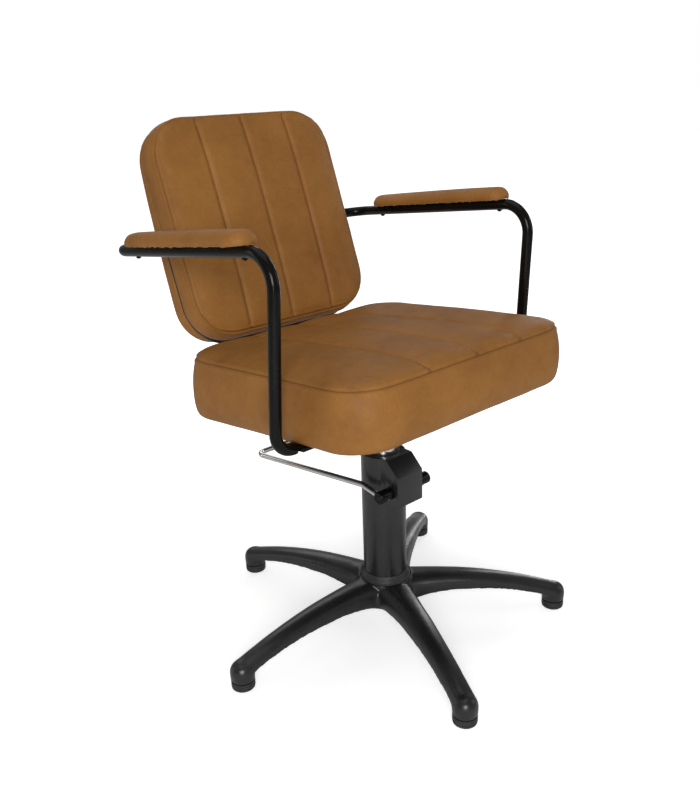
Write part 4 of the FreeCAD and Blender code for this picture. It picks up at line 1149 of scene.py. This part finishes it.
def studio_floor():
    """Pale floor that the camera sees a little brighter than the light makes it.

    The lift grows with the distance from the chair, so that the floor runs into the
    white backdrop with no horizon.
    """
    s = Shader("studio_floor")
    tone = s.remap(s.noise(1.5, 2, 0.5), 0.3, 0.7, 0.86, 0.88)
    white = s.add("ShaderNodeCombineColor", Red=tone, Green=tone, Blue=tone)
    seen = s.add("ShaderNodeLightPath").outputs["Is Camera Ray"]
    away = s.tree.nodes.new("ShaderNodeVectorMath")
    away.operation = "LENGTH"
    s.tree.links.new(s.place, away.inputs[0])
    lift = s.math("MULTIPLY", seen, s.remap(away.outputs["Value"], 0.25, 1.1, 0.52, 1.0))
    material = s.finish(Base_Color=white.outputs[0], Roughness=0.9,
                        Emission_Color=(1.0, 1.0, 1.0, 1.0), Emission_Strength=lift)
    build = bmesh.new()
    bmesh.ops.create_grid(build, x_segments=2, y_segments=2, size=12.0)
    mesh = bpy.data.meshes.new("studio_floor")
    build.to_mesh(mesh)
    build.free()
    floor = new_object("studio_floor", mesh)
    floor.location.z = -0.2 * MM
    floor.data.materials.append(material)


LIGHT_TARGET = Vector((0.0, 0.0, 0.5))


def area_light(name, place, size, energy):
    """Soft light at a place measured from the column's foot, aimed at the seat."""
    data = bpy.data.lights.new(name, "AREA")
    data.shape = "RECTANGLE"
    data.size = size[0]
    data.size_y = size[1]
    data.energy = energy
    light = new_object(name, data)
    light.visible_camera = False
    light.location = COLUMN + Vector(place)
    light.rotation_euler = (LIGHT_TARGET - Vector(place)).to_track_quat("-Z", "Y").to_euler()


def studio_light():
    world = bpy.data.worlds.new("studio")
    world.use_nodes = True
    tree = world.node_tree
    background = tree.nodes["Background"]
    background.inputs["Color"].default_value = (1.0, 1.0, 1.0, 1.0)
    seen = tree.nodes.new("ShaderNodeLightPath").outputs["Is Camera Ray"]
    strength = tree.nodes.new("ShaderNodeMapRange")
    strength.inputs["To Min"].default_value = 0.26
    strength.inputs["To Max"].default_value = 1.0
    tree.links.new(seen, strength.inputs["Value"])
    tree.links.new(strength.outputs["Result"], background.inputs["Strength"])
    scene.world = world
    area_light("key", (-1.9, -2.0, 1.5), (1.2, 1.2), 46)
    area_light("top", (-0.2, 0.3, 2.8), (2.2, 2.2), 12)
    area_light("fill", (2.0, -1.5, 1.3), (1.4, 1.4), 5)
    area_light("front", (-1.5, -1.6, 0.8), (0.3, 1.0), 5)
    area_light("rim", (1.0, 2.2, 1.8), (1.6, 1.0), 8)
    area_light("left strip", (-1.5, 1.3, 0.7), (0.25, 1.5), 1.8)
    area_light("right strip", (1.7, 0.6, 0.7), (0.2, 1.5), 5)


CAMERA_AZIMUTH = math.radians(-41.94)
CAMERA_ELEVATION = math.radians(20.64)
CAMERA_ROLL = math.radians(-1.98)
CAMERA_DISTANCE = 1.4261
CAMERA_SIDE_SHIFT = -0.0531
CAMERA_TARGET_Z = 0.4111
CAMERA_LENS = 38.2723      # millimetres, on a sensor 36 mm wide


def studio_camera():
    """Camera at the photograph's angle, aimed at a point beside the column's axis."""
    data = bpy.data.cameras.new("camera")
    data.sensor_width = 36.0
    data.lens = CAMERA_LENS
    camera = new_object("camera", data)
    side = Vector((math.cos(CAMERA_AZIMUTH), math.sin(CAMERA_AZIMUTH), 0))
    back = Vector((math.sin(CAMERA_AZIMUTH) * math.cos(CAMERA_ELEVATION),
                   -math.cos(CAMERA_AZIMUTH) * math.cos(CAMERA_ELEVATION),
                   math.sin(CAMERA_ELEVATION)))
    up = back.cross(side)
    right = side * math.cos(CAMERA_ROLL) + up * math.sin(CAMERA_ROLL)
    top = up * math.cos(CAMERA_ROLL) - side * math.sin(CAMERA_ROLL)
    target = COLUMN + side * CAMERA_SIDE_SHIFT + Vector((0, 0, CAMERA_TARGET_Z))
    place = Matrix((right, top, back)).transposed().to_4x4()
    place.translation = target + back * CAMERA_DISTANCE
    camera.matrix_world = place
    scene.camera = camera


# ---- Build -------------------------------------------------------------------

scene.view_settings.view_transform = "Standard"
dress_cad_nodes()
seat_cushion()
back_cushion()
edge_trim()
rear_shell()
arm_pad(1, "left_arm_pad", "left_arm_cushion")
arm_pad(-1, "right_arm_pad", "right_arm_cushion")
base_casting()
return_spring()
studio_floor()
studio_light()
studio_camera()
